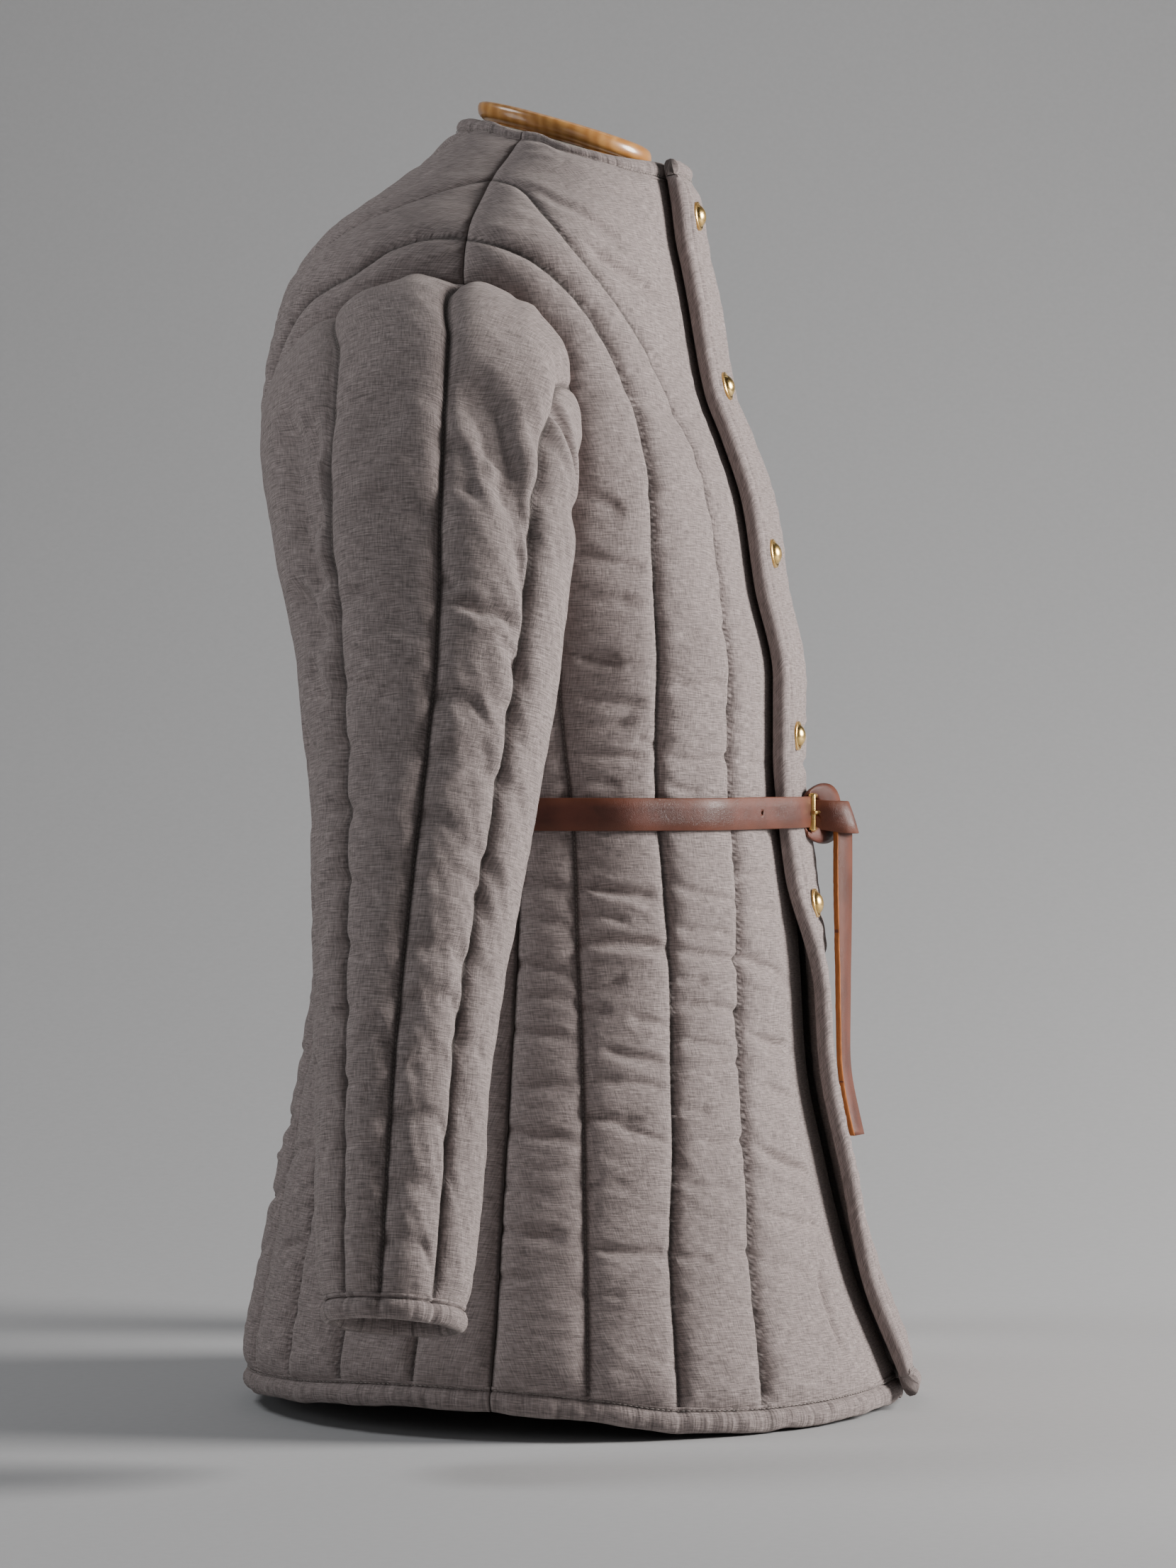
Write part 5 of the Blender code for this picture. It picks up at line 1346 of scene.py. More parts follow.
# The same on a sleeve: from degrees round and mm down the arm to degrees and mm, then width, depth and bow.
SLEEVE_CREASES = [
    (414, 100, 392, 170, 13, 2.6, -3), (422, 100, 394, 206, 9, 2.2, 4), (428, 146, 420, 184, 7, 1.4, 0),
    (432, 250, 394, 224, 5, 1.9, -4), (428, 256, 394, 230, 5, -1, -3), (432, 234, 426, 241, 5, 1.2, 0),
    (384, 68, 356, 56, 5, 3.2, 2), (400, 117, 374, 80, 6, 1.2, 2), (404, 164, 324, 25, 5, 1.3, 2),
    (416, 152, 398, 150, 6, -1.3, 1), (436, 310, 408, 297, 6, 1.3, 3), (436, 345, 400, 307, 5, 1, -2),
    (422, 354, 372, 285, 5, 1.2, 2), (438, 378, 418, 372, 5, 1, 1), (430, 415, 386, 373, 5.5, 1.2, 3),
    (434, 455, 398, 419, 5, 1, -2), (440, 494, 392, 448, 5.5, 1.2, 3), (434, 525, 400, 485, 5, 0.9, 1),
    (442, 557, 394, 520, 5, 1.1, 2), (442, 592, 404, 561, 5, 1, -2), (448, 626, 402, 599, 5, 1, 2),
    (474, 124, 450, 155, 9, 1.3, 3), (462, 190, 434, 206, 8, 1.2, -3), (480, 247, 442, 279, 8, 1.4, 4),
    (486, 293, 452, 323, 6, 1.1, 2), (492, 326, 456, 366, 5.5, 1.1, 2), (496, 360, 448, 396, 5.5, 1.2, -2),
    (494, 406, 452, 441, 5, 1.1, 2), (490, 448, 446, 478, 5, 1, 1), (486, 488, 438, 519, 5, 1.2, 2),
    (482, 531, 446, 551, 4.5, 0.9, -1), (478, 569, 442, 585, 4.5, 1.1, 2), (476, 604, 446, 612, 4.5, 0.9, 1),
    (502, 110, 494, 194, 7, 3.4, 2), (488, 127, 486, 214, 6, 3, -2), (500, 184, 490, 239, 5, 2.8, 1),
    (502, 149, 486, 196, 5, 2.2, 2), (508, 217, 492, 270, 5, 2.4, 1), (486, 149, 484, 225, 4.5, -2.2, 0),
    (502, 271, 494, 303, 5, 1.4, 0), (526, 289, 500, 340, 5, 1.2, 0), (526, 332, 496, 394, 5, 1.2, 0),
    (526, 388, 496, 441, 5, 1.2, 0), (516, 458, 486, 505, 5, 1.1, 0), (530, 481, 482, 552, 5, 1.1, 0),
    (406, 254, 386, 236, 5, 1.2, 1), (408, 292, 384, 260, 5, 1, 1), (410, 380, 380, 345, 5, 1.1, 1),
    (408, 442, 374, 391, 4.5, 1, 1), (402, 479, 368, 426, 4.5, 0.9, 1),
]


def sleeve():
    """Outer and lining grids of the right sleeve, its flat map and its seam map."""
    shares = np.linspace(0, 1, SLEEVE_COLUMNS, endpoint=False)
    turns = np.array([np.interp(shares * 6, np.arange(7), row) for row in LINE_TURNS])
    angles = turns[0]
    start = loop_shares(angles)
    outer_edge, inner_edge = armhole_loop(start, False), armhole_loop(start, True)
    plain = np.zeros(len(angles))
    _, z1, _, z0, y, depth = SLEEVE_RINGS[0]
    tall = (outer_edge[:, 2] - (z0 + z1) / 2) / ((z1 - z0) / 2)
    seen = np.degrees(np.arctan2(tall, (y - outer_edge[:, 1]) / depth))
    seen += 360 * np.round((angles - seen) / 360)
    outer_fix = outer_edge - sleeve_ellipse(0, seen, plain + SLEEVE_GROOVE)
    inner_fix = inner_edge - sleeve_ellipse(0, seen, plain + SLEEVE_LINING)

    def ring(at, rise, fix):
        hold = max(0.0, 1 - at / 3.2) ** 2
        low = np.array([np.interp(at, TURN_RINGS, column) for column in turns.T])
        turn = seen + (low - seen) * float(step(at, 0.2, 3.4))
        return sleeve_ellipse(at, turn, rise) + hold * fix

    coarse_at = np.linspace(0, 9, 91)
    middle = np.array([ring(a, plain, outer_fix).mean(0) for a in coarse_at])
    run = run_along(middle)
    share = np.linspace(0, 1, SLEEVE_ROWS)
    share = share - 0.35 * share * (1 - share) ** 3
    ats = np.interp(share * run[-1], run, coarse_at)
    bare = np.array([ring(a, plain + SLEEVE_GROOVE, outer_fix) for a in ats])
    steps_down = np.linalg.norm(np.diff(bare, axis=0), axis=2)
    down = np.concatenate([np.zeros((1, len(angles))), np.cumsum(steps_down, 0)])
    steps_round = np.linalg.norm(np.roll(bare, -1, 1) - bare, axis=2)
    around = np.concatenate([np.zeros((len(ats), 1)), np.cumsum(steps_round, 1)[:, :-1]], 1)
    total = steps_round.sum(1, keepdims=True)
    line_columns = np.arange(6) * SLEEVE_COLUMNS // 6
    lines = around[:, line_columns]
    gap = np.abs(around[:, :, None] - lines[:, None, :])
    gap = np.minimum(gap, total[:, :, None] - gap)
    order = np.sort(gap, axis=2)
    channel = np.arange(SLEEVE_COLUMNS) * 6 // SLEEVE_COLUMNS
    across = (np.arange(SLEEVE_COLUMNS) * 6 / SLEEVE_COLUMNS) % 1
    d = order[:, :, 0]
    nearest_line = gap.argmin(2)
    crown = crowned(across)[None, :] * (1 - np.exp(-((d / 4.6) ** 1.15)))
    cuff_away = down[-1][None, :] - down
    crown = crown * (1 - np.exp(-((down / 6.0) ** 1.2))) * (1 - 0.75 * np.exp(-((cuff_away / 9) ** 1.3)))
    flat = np.stack([around, down], 2)
    turn = np.radians(angles)[None, :]
    round_arm = np.stack([120 * np.cos(turn) + 0 * down, 120 * np.sin(turn) + 0 * down, down], 2).reshape(-1, 3)
    relief = 0.9 * unevenness(round_arm, 80, 601).reshape(d.shape)
    relief += 0.45 * unevenness(round_arm * (1, 1, 1.8), 30, 602).reshape(d.shape)
    relief *= np.clip(d / 12, 0.1, 1) * np.clip(down / 25, 0, 1) * np.clip(cuff_away / 20, 0, 1)
    pucker = np.zeros(d.shape)
    for k in range(6):
        g = gap[:, :, k]
        side = np.where((channel[None, :] == k) ^ (g > total / 2), 1, -1) + 0 * down
        pucker += 0.6 * ridges(down, g, 620 + k, 640 + k, 0.6)
        pucker += 0.75 * tugs(down, g, side, 680 + 5 * k)
        pucker -= 1.3 * np.exp(-((g / 1.5) ** 2))
    pucker *= np.clip(down / 6, 0, 1)
    ripple = 1.5 * along_noise(around, 9, 671) * np.exp(-((down / 22) ** 1.2)) * np.clip(down / 4, 0, 1)
    ripple += 1.1 * along_noise(around, 17, 672) * np.exp(-((down / 60) ** 1.5)) * np.clip(down / 12, 0, 1)
    ring_turns = np.array([[np.interp(at, TURN_RINGS, column) for column in turns.T] for at in ats])
    turned = seen + (ring_turns - seen) * step(ats, 0.2, 3.4)[:, None]
    folds = creased(np.stack([turned, down], 2).reshape(-1, 2), SLEEVE_CREASES, up=-1).reshape(d.shape)
    rise = SLEEVE_GROOVE + (SLEEVE_CROWN - SLEEVE_GROOVE) * crown + pucker + relief + ripple + folds
    rise = np.maximum(rise, SLEEVE_LINING + LEAST_WALL)
    outer = np.array([ring(a, rise[k], outer_fix) for k, a in enumerate(ats)])
    outer[0] = outer_edge
    keep = np.unique(np.concatenate([np.arange(0, SLEEVE_ROWS, 5), [SLEEVE_ROWS - 1]]))
    inner = np.array([ring(ats[k], plain + SLEEVE_LINING, inner_fix) for k in keep])
    inner[0] = inner_edge
    seam = np.stack([down + 13.7 * nearest_line, d], 2)
    return outer, inner, keep, flat, seam


def tube_wall(outer, inner, few=3):
    """A sleeve's wall: fine outside, plainer inside with every few columns, with rims between."""
    rows, cols = outer.shape[:2]
    kept = np.arange(0, cols, few)
    verts = np.concatenate([outer.reshape(-1, 3), inner[:, kept].reshape(-1, 3)])
    start, m = rows * cols, len(kept)
    faces = []
    for r in range(rows - 1):
        low, high = r * cols, (r + 1) * cols
        faces += [(low + c, low + (c + 1) % cols, high + (c + 1) % cols, high + c) for c in range(cols)]
    for r in range(len(inner) - 1):
        low, high = start + r * m, start + (r + 1) * m
        faces += [(low + c, high + c, high + (c + 1) % m, low + (c + 1) % m) for c in range(m)]
    for r_out, r_in in ((0, 0), (rows - 1, len(inner) - 1)):
        for c in range(m):
            d = (c + 1) % m
            fine = [r_out * cols + (c * few + k) % cols for k in range(few + 1)]
            low, high = start + r_in * m + c, start + r_in * m + d
            middle = few // 2 + 1
            faces += [(fine[k], low, fine[k + 1]) for k in range(middle)]
            faces.append((low, high, fine[middle]))
            faces += [(fine[k], high, fine[k + 1]) for k in range(middle, few)]
    return verts, faces, kept


def sleeves():
    outer, inner, keep, flat, seam = sleeve()
    verts, faces, kept = tube_wall(outer, inner)
    each = SLEEVE_COLUMNS // 6
    middles = flat[:, each // 2 :: each, 0][:, np.arange(SLEEVE_COLUMNS) // each]
    threads = np.stack([flat[:, :, 0] - middles + middles.mean(0), flat[-1, :, 1] - flat[:, :, 1]], 2)
    uv = np.concatenate([threads.reshape(-1, 2), threads[np.ix_(keep, kept)].reshape(-1, 2)]) * MM
    seam_uv = np.concatenate([seam.reshape(-1, 2), np.full((len(keep) * len(kept), 2), FAR_FROM_SEAM)]) * MM
    maps = [("cut", uv), ("seam", seam_uv)]
    along = outer[-1].mean(0) - outer[-6].mean(0)
    along = np.tile(along / np.linalg.norm(along), (outer.shape[1], 1))
    cuff, cuff_faces, cuff_flat, cuff_run = rolled_tape(
        outer[-1], inner[-1], along, CUFF_BINDING, 700, 1.1, 0.5, closed=True
    )
    pieces = []
    for side in ("right", "left"):
        if side == "left":
            verts, cuff = mirrored(verts), mirrored(cuff)
        cloth = outward(put(f"sleeve_{side}_cloth", verts, faces, LINEN, maps))
        tape = outward(put(f"cuff_tape_{side}", cuff, cuff_faces, BINDING, [("cut", cuff_flat)]))
        stands_for(cloth, f"sleeve_{side}")
        stands_for(tape, f"cuff_binding_{side}")
        pieces.append((cloth, tape))
    return outer, pieces, flat, cuff_run[-1]


sleeve_grid, SLEEVES, sleeve_flat, cuff_run = sleeves()


# Stitches ----------------------------------------------------------------------------------------------------

STITCH_PITCH, STITCH_LENGTH, STITCH_THICK = 3.4, 2.5, 0.5


class Sewing:
    """Short thread stitches gathered into one piece."""

    def __init__(self):
        self.verts, self.faces = [], []

    def stitch(self, middle, along, normal):
        along = along / np.linalg.norm(along)
        side = np.cross(along, normal)
        half, thick = STITCH_LENGTH / 2, STITCH_THICK / 2
        base = len(self.verts)
        for reach, wide, sunk in ((-1.0, 0.45, -0.25), (-0.55, 1, 0.05), (0.55, 1, 0.05), (1.0, 0.45, -0.25)):
            centre = middle + along * reach * half
            for a in range(4):
                c, s = math.cos(math.pi / 2 * a), math.sin(math.pi / 2 * a)
                self.verts.append(centre + side * c * thick * wide + normal * (s * thick * wide + sunk))
        for low in (base, base + 4, base + 8):
            self.faces += [(low + k, low + (k + 1) % 4, low + 4 + (k + 1) % 4, low + 4 + k) for k in range(4)]
        self.faces += [(base + 3, base + 2, base + 1, base), (base + 12, base + 13, base + 14, base + 15)]

    def along_path(self, points, normals, lift):
        run = run_along(points)
        for s in np.arange(STITCH_PITCH, run[-1] - STITCH_PITCH, STITCH_PITCH):
            p = read_at(s, run, points)
            ahead = read_at(s + 1, run, points)
            n = read_at(s, run, normals)
            n /= np.linalg.norm(n)
            self.stitch(p + n * lift, ahead - p, n)

    def build(self, name, mirror=False):
        verts = mirrored(self.verts) if mirror else np.array(self.verts)
        piece = outward(put(name, verts, self.faces, THREAD))
        return piece


def sewn_lines(sewing, panel, lines):
    """Stitches along lines of a panel, in its grooves."""
    for line in lines:
        q, z = line[:, 0], line[:, 1]
        cut = flat_cut(q, z, panel.outline.back)
        points, _ = panel.face(q, z, cut)
        sewing.along_path(points, body_normal(q, z), lift=0.12)


def edge_topstitch(sewing, panel, edge):
    """Stitches a fixed distance in from the front edge."""
    z = np.linspace(30, 780, 300)
    q = past_centre(edge(z) - TOPSTITCH_IN, z)
    points, _ = panel.face(q, z, flat_cut(q, z))
    sewing.along_path(points, body_normal(q, z), lift=0.1)


def tape_stitches(sewing, panel, label):
    """A row of stitches along the top of a binding, through its lip."""
    outer, inner, normal = panel.edge(label)
    along = up_the_wall(normal, -1 if label == "hem" else 1)
    out = outer - inner
    out /= np.linalg.norm(out, axis=1, keepdims=True)
    sewing.along_path(outer + along * 0.75 + out * 0.7, out, lift=0.05)


RIGHT_SEWING, LEFT_SEWING, BACK_SEWING, SLEEVE_SEWING = Sewing(), Sewing(), Sewing(), Sewing()
for sewing, panel, edge in ((RIGHT_SEWING, front_right, right_edge), (LEFT_SEWING, front_left, left_edge)):
    sewn_lines(sewing, panel, FRONT_LINES)
    edge_topstitch(sewing, panel, edge)
sewn_lines(BACK_SEWING, back, BACK_LINES)
for sewing, panel in ((RIGHT_SEWING, front_right), (LEFT_SEWING, front_left), (BACK_SEWING, back)):
    tape_stitches(sewing, panel, "hem")
    tape_stitches(sewing, panel, "neck")
for k in range(6):
    path = sleeve_grid[4:, k * SLEEVE_COLUMNS // 6]
    normals = path - sleeve_grid[4:].mean(1)
    normals /= np.linalg.norm(normals, axis=1, keepdims=True)
    SLEEVE_SEWING.along_path(path, normals, lift=0.12)
for side, turn in (("right", False), ("left", True)):
    SLEEVE_SEWING.build(f"sleeve_{side}_stitches", turn)
RIGHT_SEWING.build("front_right_stitches")
LEFT_SEWING.build("front_left_stitches", mirror=True)
BACK_SEWING.build("back_stitches")


# Buttons -----------------------------------------------------------------------------------------------------


def deselect():
    for obj in bpy.context.view_layer.objects:
        obj.select_set(False)


DROP_BY = Vector((0, 0, DROP * MM))


def select(obj):
    deselect()
    bpy.context.view_layer.objects.active = obj
    obj.select_set(True)


def edit(obj):
    select(obj)
    bpy.ops.object.mode_set(mode="EDIT")
    bpy.ops.mesh.select_mode(type="FACE")
    bpy.ops.mesh.select_all(action="DESELECT")


def pick(obj, test):
    """Selects the faces of the piece in edit mode whose centre and normal pass the test."""
    shape = bmesh.from_edit_mesh(obj.data)
    bpy.ops.mesh.select_all(action="DESELECT")
    for face in shape.faces:
        face.select_set(test(face.calc_center_median(), face.normal))
    bmesh.update_edit_mesh(obj.data)


def leave_edit(obj, angle):
    bpy.ops.object.mode_set(mode="OBJECT")
    bpy.ops.object.shade_smooth_by_angle(angle=math.radians(angle))
    return obj


def named(name, material):
    obj = bpy.context.view_layer.objects.active
    obj.name = obj.data.name = name
    obj.data.materials.clear()
    obj.data.materials.append(material)
    return obj


def settle(obj):
    """Leaves the object at the origin, unturned and unscaled, with its place in the mesh."""
    select(obj)
    bpy.ops.object.transform_apply(location=True, rotation=True, scale=True)


def blank(name, material, sides, radius, depth, foot=0.0):
    """An upright cylinder to model from, left in edit mode."""
    deselect()
    place = (0, 0, (foot + depth / 2) * MM)
    bpy.ops.mesh.primitive_cylinder_add(vertices=sides, radius=radius * MM, depth=depth * MM, location=place)
    obj = named(name, material)
    settle(obj)
    edit(obj)
    return obj


def inset(thickness, rise=0.0):
    """Insets the selected faces and lifts them."""
    bpy.ops.mesh.inset(thickness=thickness * MM, depth=0)
    if rise:
        bpy.ops.transform.translate(value=(0, 0, rise * MM))


def turned_up(radius, profile):
    """Extrudes the selected disc upwards through (radius, rise) steps, from a disc of the given radius."""
    for wider, rise in profile:
        bpy.ops.mesh.extrude_region_move(TRANSFORM_OT_translate={"value": (0, 0, rise * MM)})
        bpy.ops.transform.resize(value=(wider / radius, wider / radius, 1), center_override=(0, 0, 0))
        radius = wider


def button_pattern():
    """A domed brass button with a rolled rim and a fine ring round its dome, its foot at the origin, facing +Z."""
    obj = blank("button", BRASS, 64, BUTTON_RADIUS, 1.3)
    pick(obj, lambda centre, normal: normal.z > 0.9)
    rim = [(0.5, 0.35), (0.7, 0.1), (0.5, -0.45), (0.45, 0.15), (0.35, 0.95)]
    dome = [(0.9, 0.95), (1.1, 0.8), (1.2, 0.6), (1.3, 0.42), (1.2, 0.22), (0.8, 0.05)]
    for thickness, rise in rim + dome:
        inset(thickness, rise)
    pick(obj, lambda centre, normal: normal.z < -0.9)
    inset(0.6)
    return leave_edit(obj, 40)


def buttons():
    pattern = button_pattern()
    for number, height in enumerate(BUTTON_HEIGHTS, 1):
        axis = body_normal(1.0, height)
        axis = np.array([0.0, axis[1], axis[2]])
        axis /= np.linalg.norm(axis)
        spot = on_body(1.0, height)
        z = height + np.repeat(np.linspace(-9, 9, 13), 13)
        q = 1 + np.tile(np.linspace(-9, 9, 13), 13) / np.interp(height, HEIGHTS, LENGTHS[:, 0])
        around, _ = front_left.face(q, z, flat_cut(q, z))
        lift = float(np.quantile((around - spot) @ axis, 0.9)) - 0.2
        obj = pattern.copy()
        obj.data = pattern.data.copy()
        obj.name = obj.data.name = f"brass_button_{number}"
        bpy.context.scene.collection.objects.link(obj)
        turn = Vector((0, 0, 1)).rotation_difference(Vector(axis)).to_matrix().to_4x4()
        spin = Matrix.Rotation(0.7 * number, 4, "Z")
        place = Matrix.Translation(Vector((spot + axis * lift) * MM) - DROP_BY)
        obj.data.transform(place @ turn @ spin)
        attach(obj, "root")
        stands_for(obj, f"button_{number}")
    bpy.data.objects.remove(pattern, do_unlink=True)


buttons()


# Belt --------------------------------------------------------------------------------------------------------


def hull(points):
    """Corners of the tightest ring round some points."""
    points = sorted(set((round(float(x), 3), round(float(y), 3)) for x, y in points))

    def turn(a, b, c):
        return (b[0] - a[0]) * (c[1] - a[1]) - (b[1] - a[1]) * (c[0] - a[0])

    def half(run):
        out = []
        for p in run:
            while len(out) > 1 and turn(out[-2], out[-1], p) <= 0:
                out.pop()
            out.append(p)
        return out[:-1]

    return np.array(half(points) + half(points[::-1]))


BELT_POINTS = 400


def belt_path():
    """Closed path round the waist, starting and ending at centre front and going towards +X."""
    band = np.concatenate([front_right.outer, mirrored(front_left.outer), back.outer])
    ring = hull(band[abs(band[:, 2] - BELT_HEIGHT) < 11][:, :2])
    start = int(np.argmin(np.hypot(ring[:, 0], ring[:, 1] + 170)))
    ring = np.concatenate([ring[start:], ring[: start + 1]])
    run = run_along(ring)
    at = np.linspace(0, run[-1], BELT_POINTS + 1)
    path = read_at(at, run, ring)[:-1]
    for _ in range(6):
        path = 0.5 * path + 0.25 * (np.roll(path, 1, 0) + np.roll(path, -1, 0))
    return path


BELT_LOOP = belt_path()
BELT_LENGTH = float(np.linalg.norm(np.diff(BELT_LOOP, axis=0, append=BELT_LOOP[:1]), axis=1).sum())


def belt_at(distance, off):
    """Point and outward direction on the belt's path, `distance` along it from centre front towards +X."""
    share = (distance / BELT_LENGTH) % 1.0 * BELT_POINTS
    i = int(share) % BELT_POINTS
    p = BELT_LOOP[i] + (share - int(share)) * (BELT_LOOP[(i + 1) % BELT_POINTS] - BELT_LOOP[i])
    tangent = BELT_LOOP[(i + 5) % BELT_POINTS] - BELT_LOOP[(i - 4) % BELT_POINTS]
    tangent /= np.linalg.norm(tangent)
    out = np.array([tangent[1], -tangent[0]])
    return p + out * off, out, tangent


BUCKLE_AT, HOLE_AT = 31.5, -54.0  # along the belt from centre front
BELT_CLEAR = 0.5
STRAP_EDGE = 0.55
STRAP_BULGE = 0.35  # how far the middle of its face stands out
HOLE_RADIUS = 1.3


def swept(name, node, sections, closed=False, material=LEATHER):
    """A piece swept through its sections, in a node's place."""
    return stands_for(outward(put(name, *sweep(np.array(sections), closed), material)), node)


def strap_ring(inner_low, inner_high, outward_way, width, thick=BELT_THICK):
    """Rounded section of a strap between its two inner corners."""
    up = (inner_high - inner_low) / width
    e = STRAP_EDGE
    places = [(0, e), (e, 0), (thick - e, 0), (thick, e), (thick, 0.35 * width), (thick, 0.65 * width)]
    places += [(thick, width - e), (thick - e, width), (e, width), (0, width - e), (0, 0.5 * width)]
    ring = []
    for depth, height in places:
        bulge = STRAP_BULGE * (1 - (2 * height / width - 1) ** 2) if depth == thick else 0
        ring.append(inner_low + outward_way * (depth + bulge) + up * height)
    return ring


def strap_sections(distances, offs, heights, widths):
    sections = []
    for d, off, height, width in zip(distances, offs, heights, widths):
        p, out, _ = belt_at(d, off)
        low = np.array([p[0], p[1], BELT_HEIGHT + height - width / 2])
        high = np.array([p[0], p[1], BELT_HEIGHT + height + width / 2])
        sections.append(strap_ring(low, high, np.array([out[0], out[1], 0.0]), width))
    return sections


def belt_strap():
    """Once round, both ends inside the knot."""
    runs = [np.linspace(68, 130, 30), np.linspace(133, BELT_LENGTH - 60, 330), BELT_LENGTH + np.linspace(-58, 62, 50)]
    d = np.concatenate(runs)
    wander = 0.7 * along_noise(d, 90, 801)
    width = BELT_WIDTH + 0.3 * along_noise(d, 60, 802)
    offs = BELT_CLEAR + 0.25 * along_noise(d, 28, 803)
    return swept("belt_strap_leather", "belt_strap", strap_sections(d, offs, wander, width))


STRAP = belt_strap()


def belt_frame(distance, off):
    """Centre and directions along, up and out at a place on the belt."""
    p, out, tangent = belt_at(distance, off)
    centre = np.array([p[0], p[1], BELT_HEIGHT])
    return centre, np.array([tangent[0], tangent[1], 0.0]), np.array([0, 0, 1.0]), np.array([out[0], out[1], 0.0])


def place_matrix(centre, along, up, out):
    return Matrix((
        (along[0], up[0], out[0], centre[0] * MM),
        (along[1], up[1], out[1], centre[1] * MM),
        (along[2], up[2], out[2], (centre[2] - DROP) * MM),
        (0, 0, 0, 1),
    ))


def punch(piece, place, axis):
    """A round belt hole through a strap."""
    deselect()
    bpy.ops.mesh.primitive_cylinder_add(vertices=20, radius=HOLE_RADIUS * MM, depth=8 * MM)
    cutter = bpy.context.object
    turn = Vector(axis).to_track_quat("Z", "Y").to_matrix().to_4x4()
    cutter.data.transform(Matrix.Translation(Vector(place) * MM - DROP_BY) @ turn)
    cut = piece.modifiers.new("hole", "BOOLEAN")
    cut.operation, cut.solver, cut.object = "DIFFERENCE", "EXACT", cutter
    select(piece)
    bpy.ops.object.modifier_apply(modifier="hole")
    bpy.data.objects.remove(cutter, do_unlink=True)


hole, _, _, hole_axis = belt_frame(HOLE_AT, BELT_CLEAR + BELT_THICK / 2)
punch(STRAP, hole, hole_axis)


def buckle():
    """Rectangular cast frame on the strap, with its centre bar's prong; modelled flat, X along the belt, Y up."""
    centre, along, up, out = belt_frame(BUCKLE_AT, BELT_CLEAR + BELT_THICK - 2.2)
    deselect()
    bpy.ops.mesh.primitive_cube_add(size=1, location=(0, 0, 2.4 * MM))
    frame_piece = named("buckle_frame", BRASS)
    frame_piece.scale = (19 * MM, 24.5 * MM, 4.8 * MM)
    settle(frame_piece)
    edit(frame_piece)
    pick(frame_piece, lambda centre, normal: abs(normal.z) > 0.9)
    inset(3.2)
    pick(
        frame_piece,
        lambda centre, normal: abs(normal.z) > 0.9 and abs(centre.x) < 6 * MM and abs(centre.y) < 9 * MM,
    )
    bpy.ops.mesh.bridge_edge_loops()
    bpy.ops.object.mode_set(mode="OBJECT")
    bevel = frame_piece.modifiers.new("corners", "BEVEL")
    bevel.width, bevel.segments, bevel.limit_method = 1.55 * MM, 4, "ANGLE"
    bpy.ops.object.modifier_apply(modifier="corners")
    deselect()
    bpy.ops.mesh.primitive_cylinder_add(
        vertices=16, radius=1.2 * MM, depth=19.5 * MM, location=(-0.5 * MM, 0, 5.3 * MM), rotation=(0, math.pi / 2, 0)
    )
    prong = named("buckle_prong", BRASS)
    settle(prong)
    edit(prong)
    pick(prong, lambda centre, normal: normal.x > 0.9)
    inset(0.35)
    bpy.ops.transform.translate(value=(1.0 * MM, 0, -0.9 * MM))
    pick(prong, lambda centre, normal: normal.x < -0.9)
    bpy.ops.mesh.extrude_region_move(TRANSFORM_OT_translate={"value": (-1.2 * MM, 0, -1.4 * MM)})
    bpy.ops.object.mode_set(mode="OBJECT")
    deselect()
    frame_piece.select_set(True)
    prong.select_set(True)
    bpy.context.view_layer.objects.active = frame_piece
    bpy.ops.object.join()
    obj = named("belt_buckle_brass", BRASS)
    edit(obj)
    leave_edit(obj, 40)
    obj.data.transform(place_matrix(centre, along, up, out))
    outward(obj)
    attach(obj, "root")
    stands_for(obj, "belt_buckle")


buckle()

KNOT_SIDES = 96


def knot_loop():
    """The strap carried up behind the belt and over it: close to the belt at its near edge, and swelling beyond the
    buckle."""
    sections, e = [], STRAP_EDGE
    layers = ((-1, e), (-0.95, 0), (-0.4, -0.3), (0.3, -0.3), (0.95, 0), (1, e), (1, BELT_THICK - e),
              (0.95, BELT_THICK), (0, BELT_THICK), (-0.95, BELT_THICK), (-1, BELT_THICK - e))
    for k in range(KNOT_SIDES):
        a = 2 * math.pi * k / KNOT_SIDES
        c, s = math.cos(a), math.sin(a)
        r = (abs(c) ** 2.3 + abs(s) ** 2.3) ** (-1 / 2.3)
        middle = BUCKLE_AT - 1 + 15 * max(c, 0) + 2.5 * math.sin(a + 0.6)
        ring = []
        for side, layer in layers:
            share = (side + 1) / 2
            outside = 8.5 + 11.5 * share
            reach, tall = (outside + BELT_THICK) / 2, 14.0 + 5.5 * share ** 0.7
            off = (outside - BELT_THICK) / 2 + r * c * (reach - layer)
            p, _, _ = belt_at(middle + side * 9.5, off)
            ring.append((p[0], p[1], BELT_HEIGHT - 0.8 + r * s * (tall - layer)))
        sections.append(ring)
    swept("belt_knot_leather", "belt_knot", sections, closed=True)


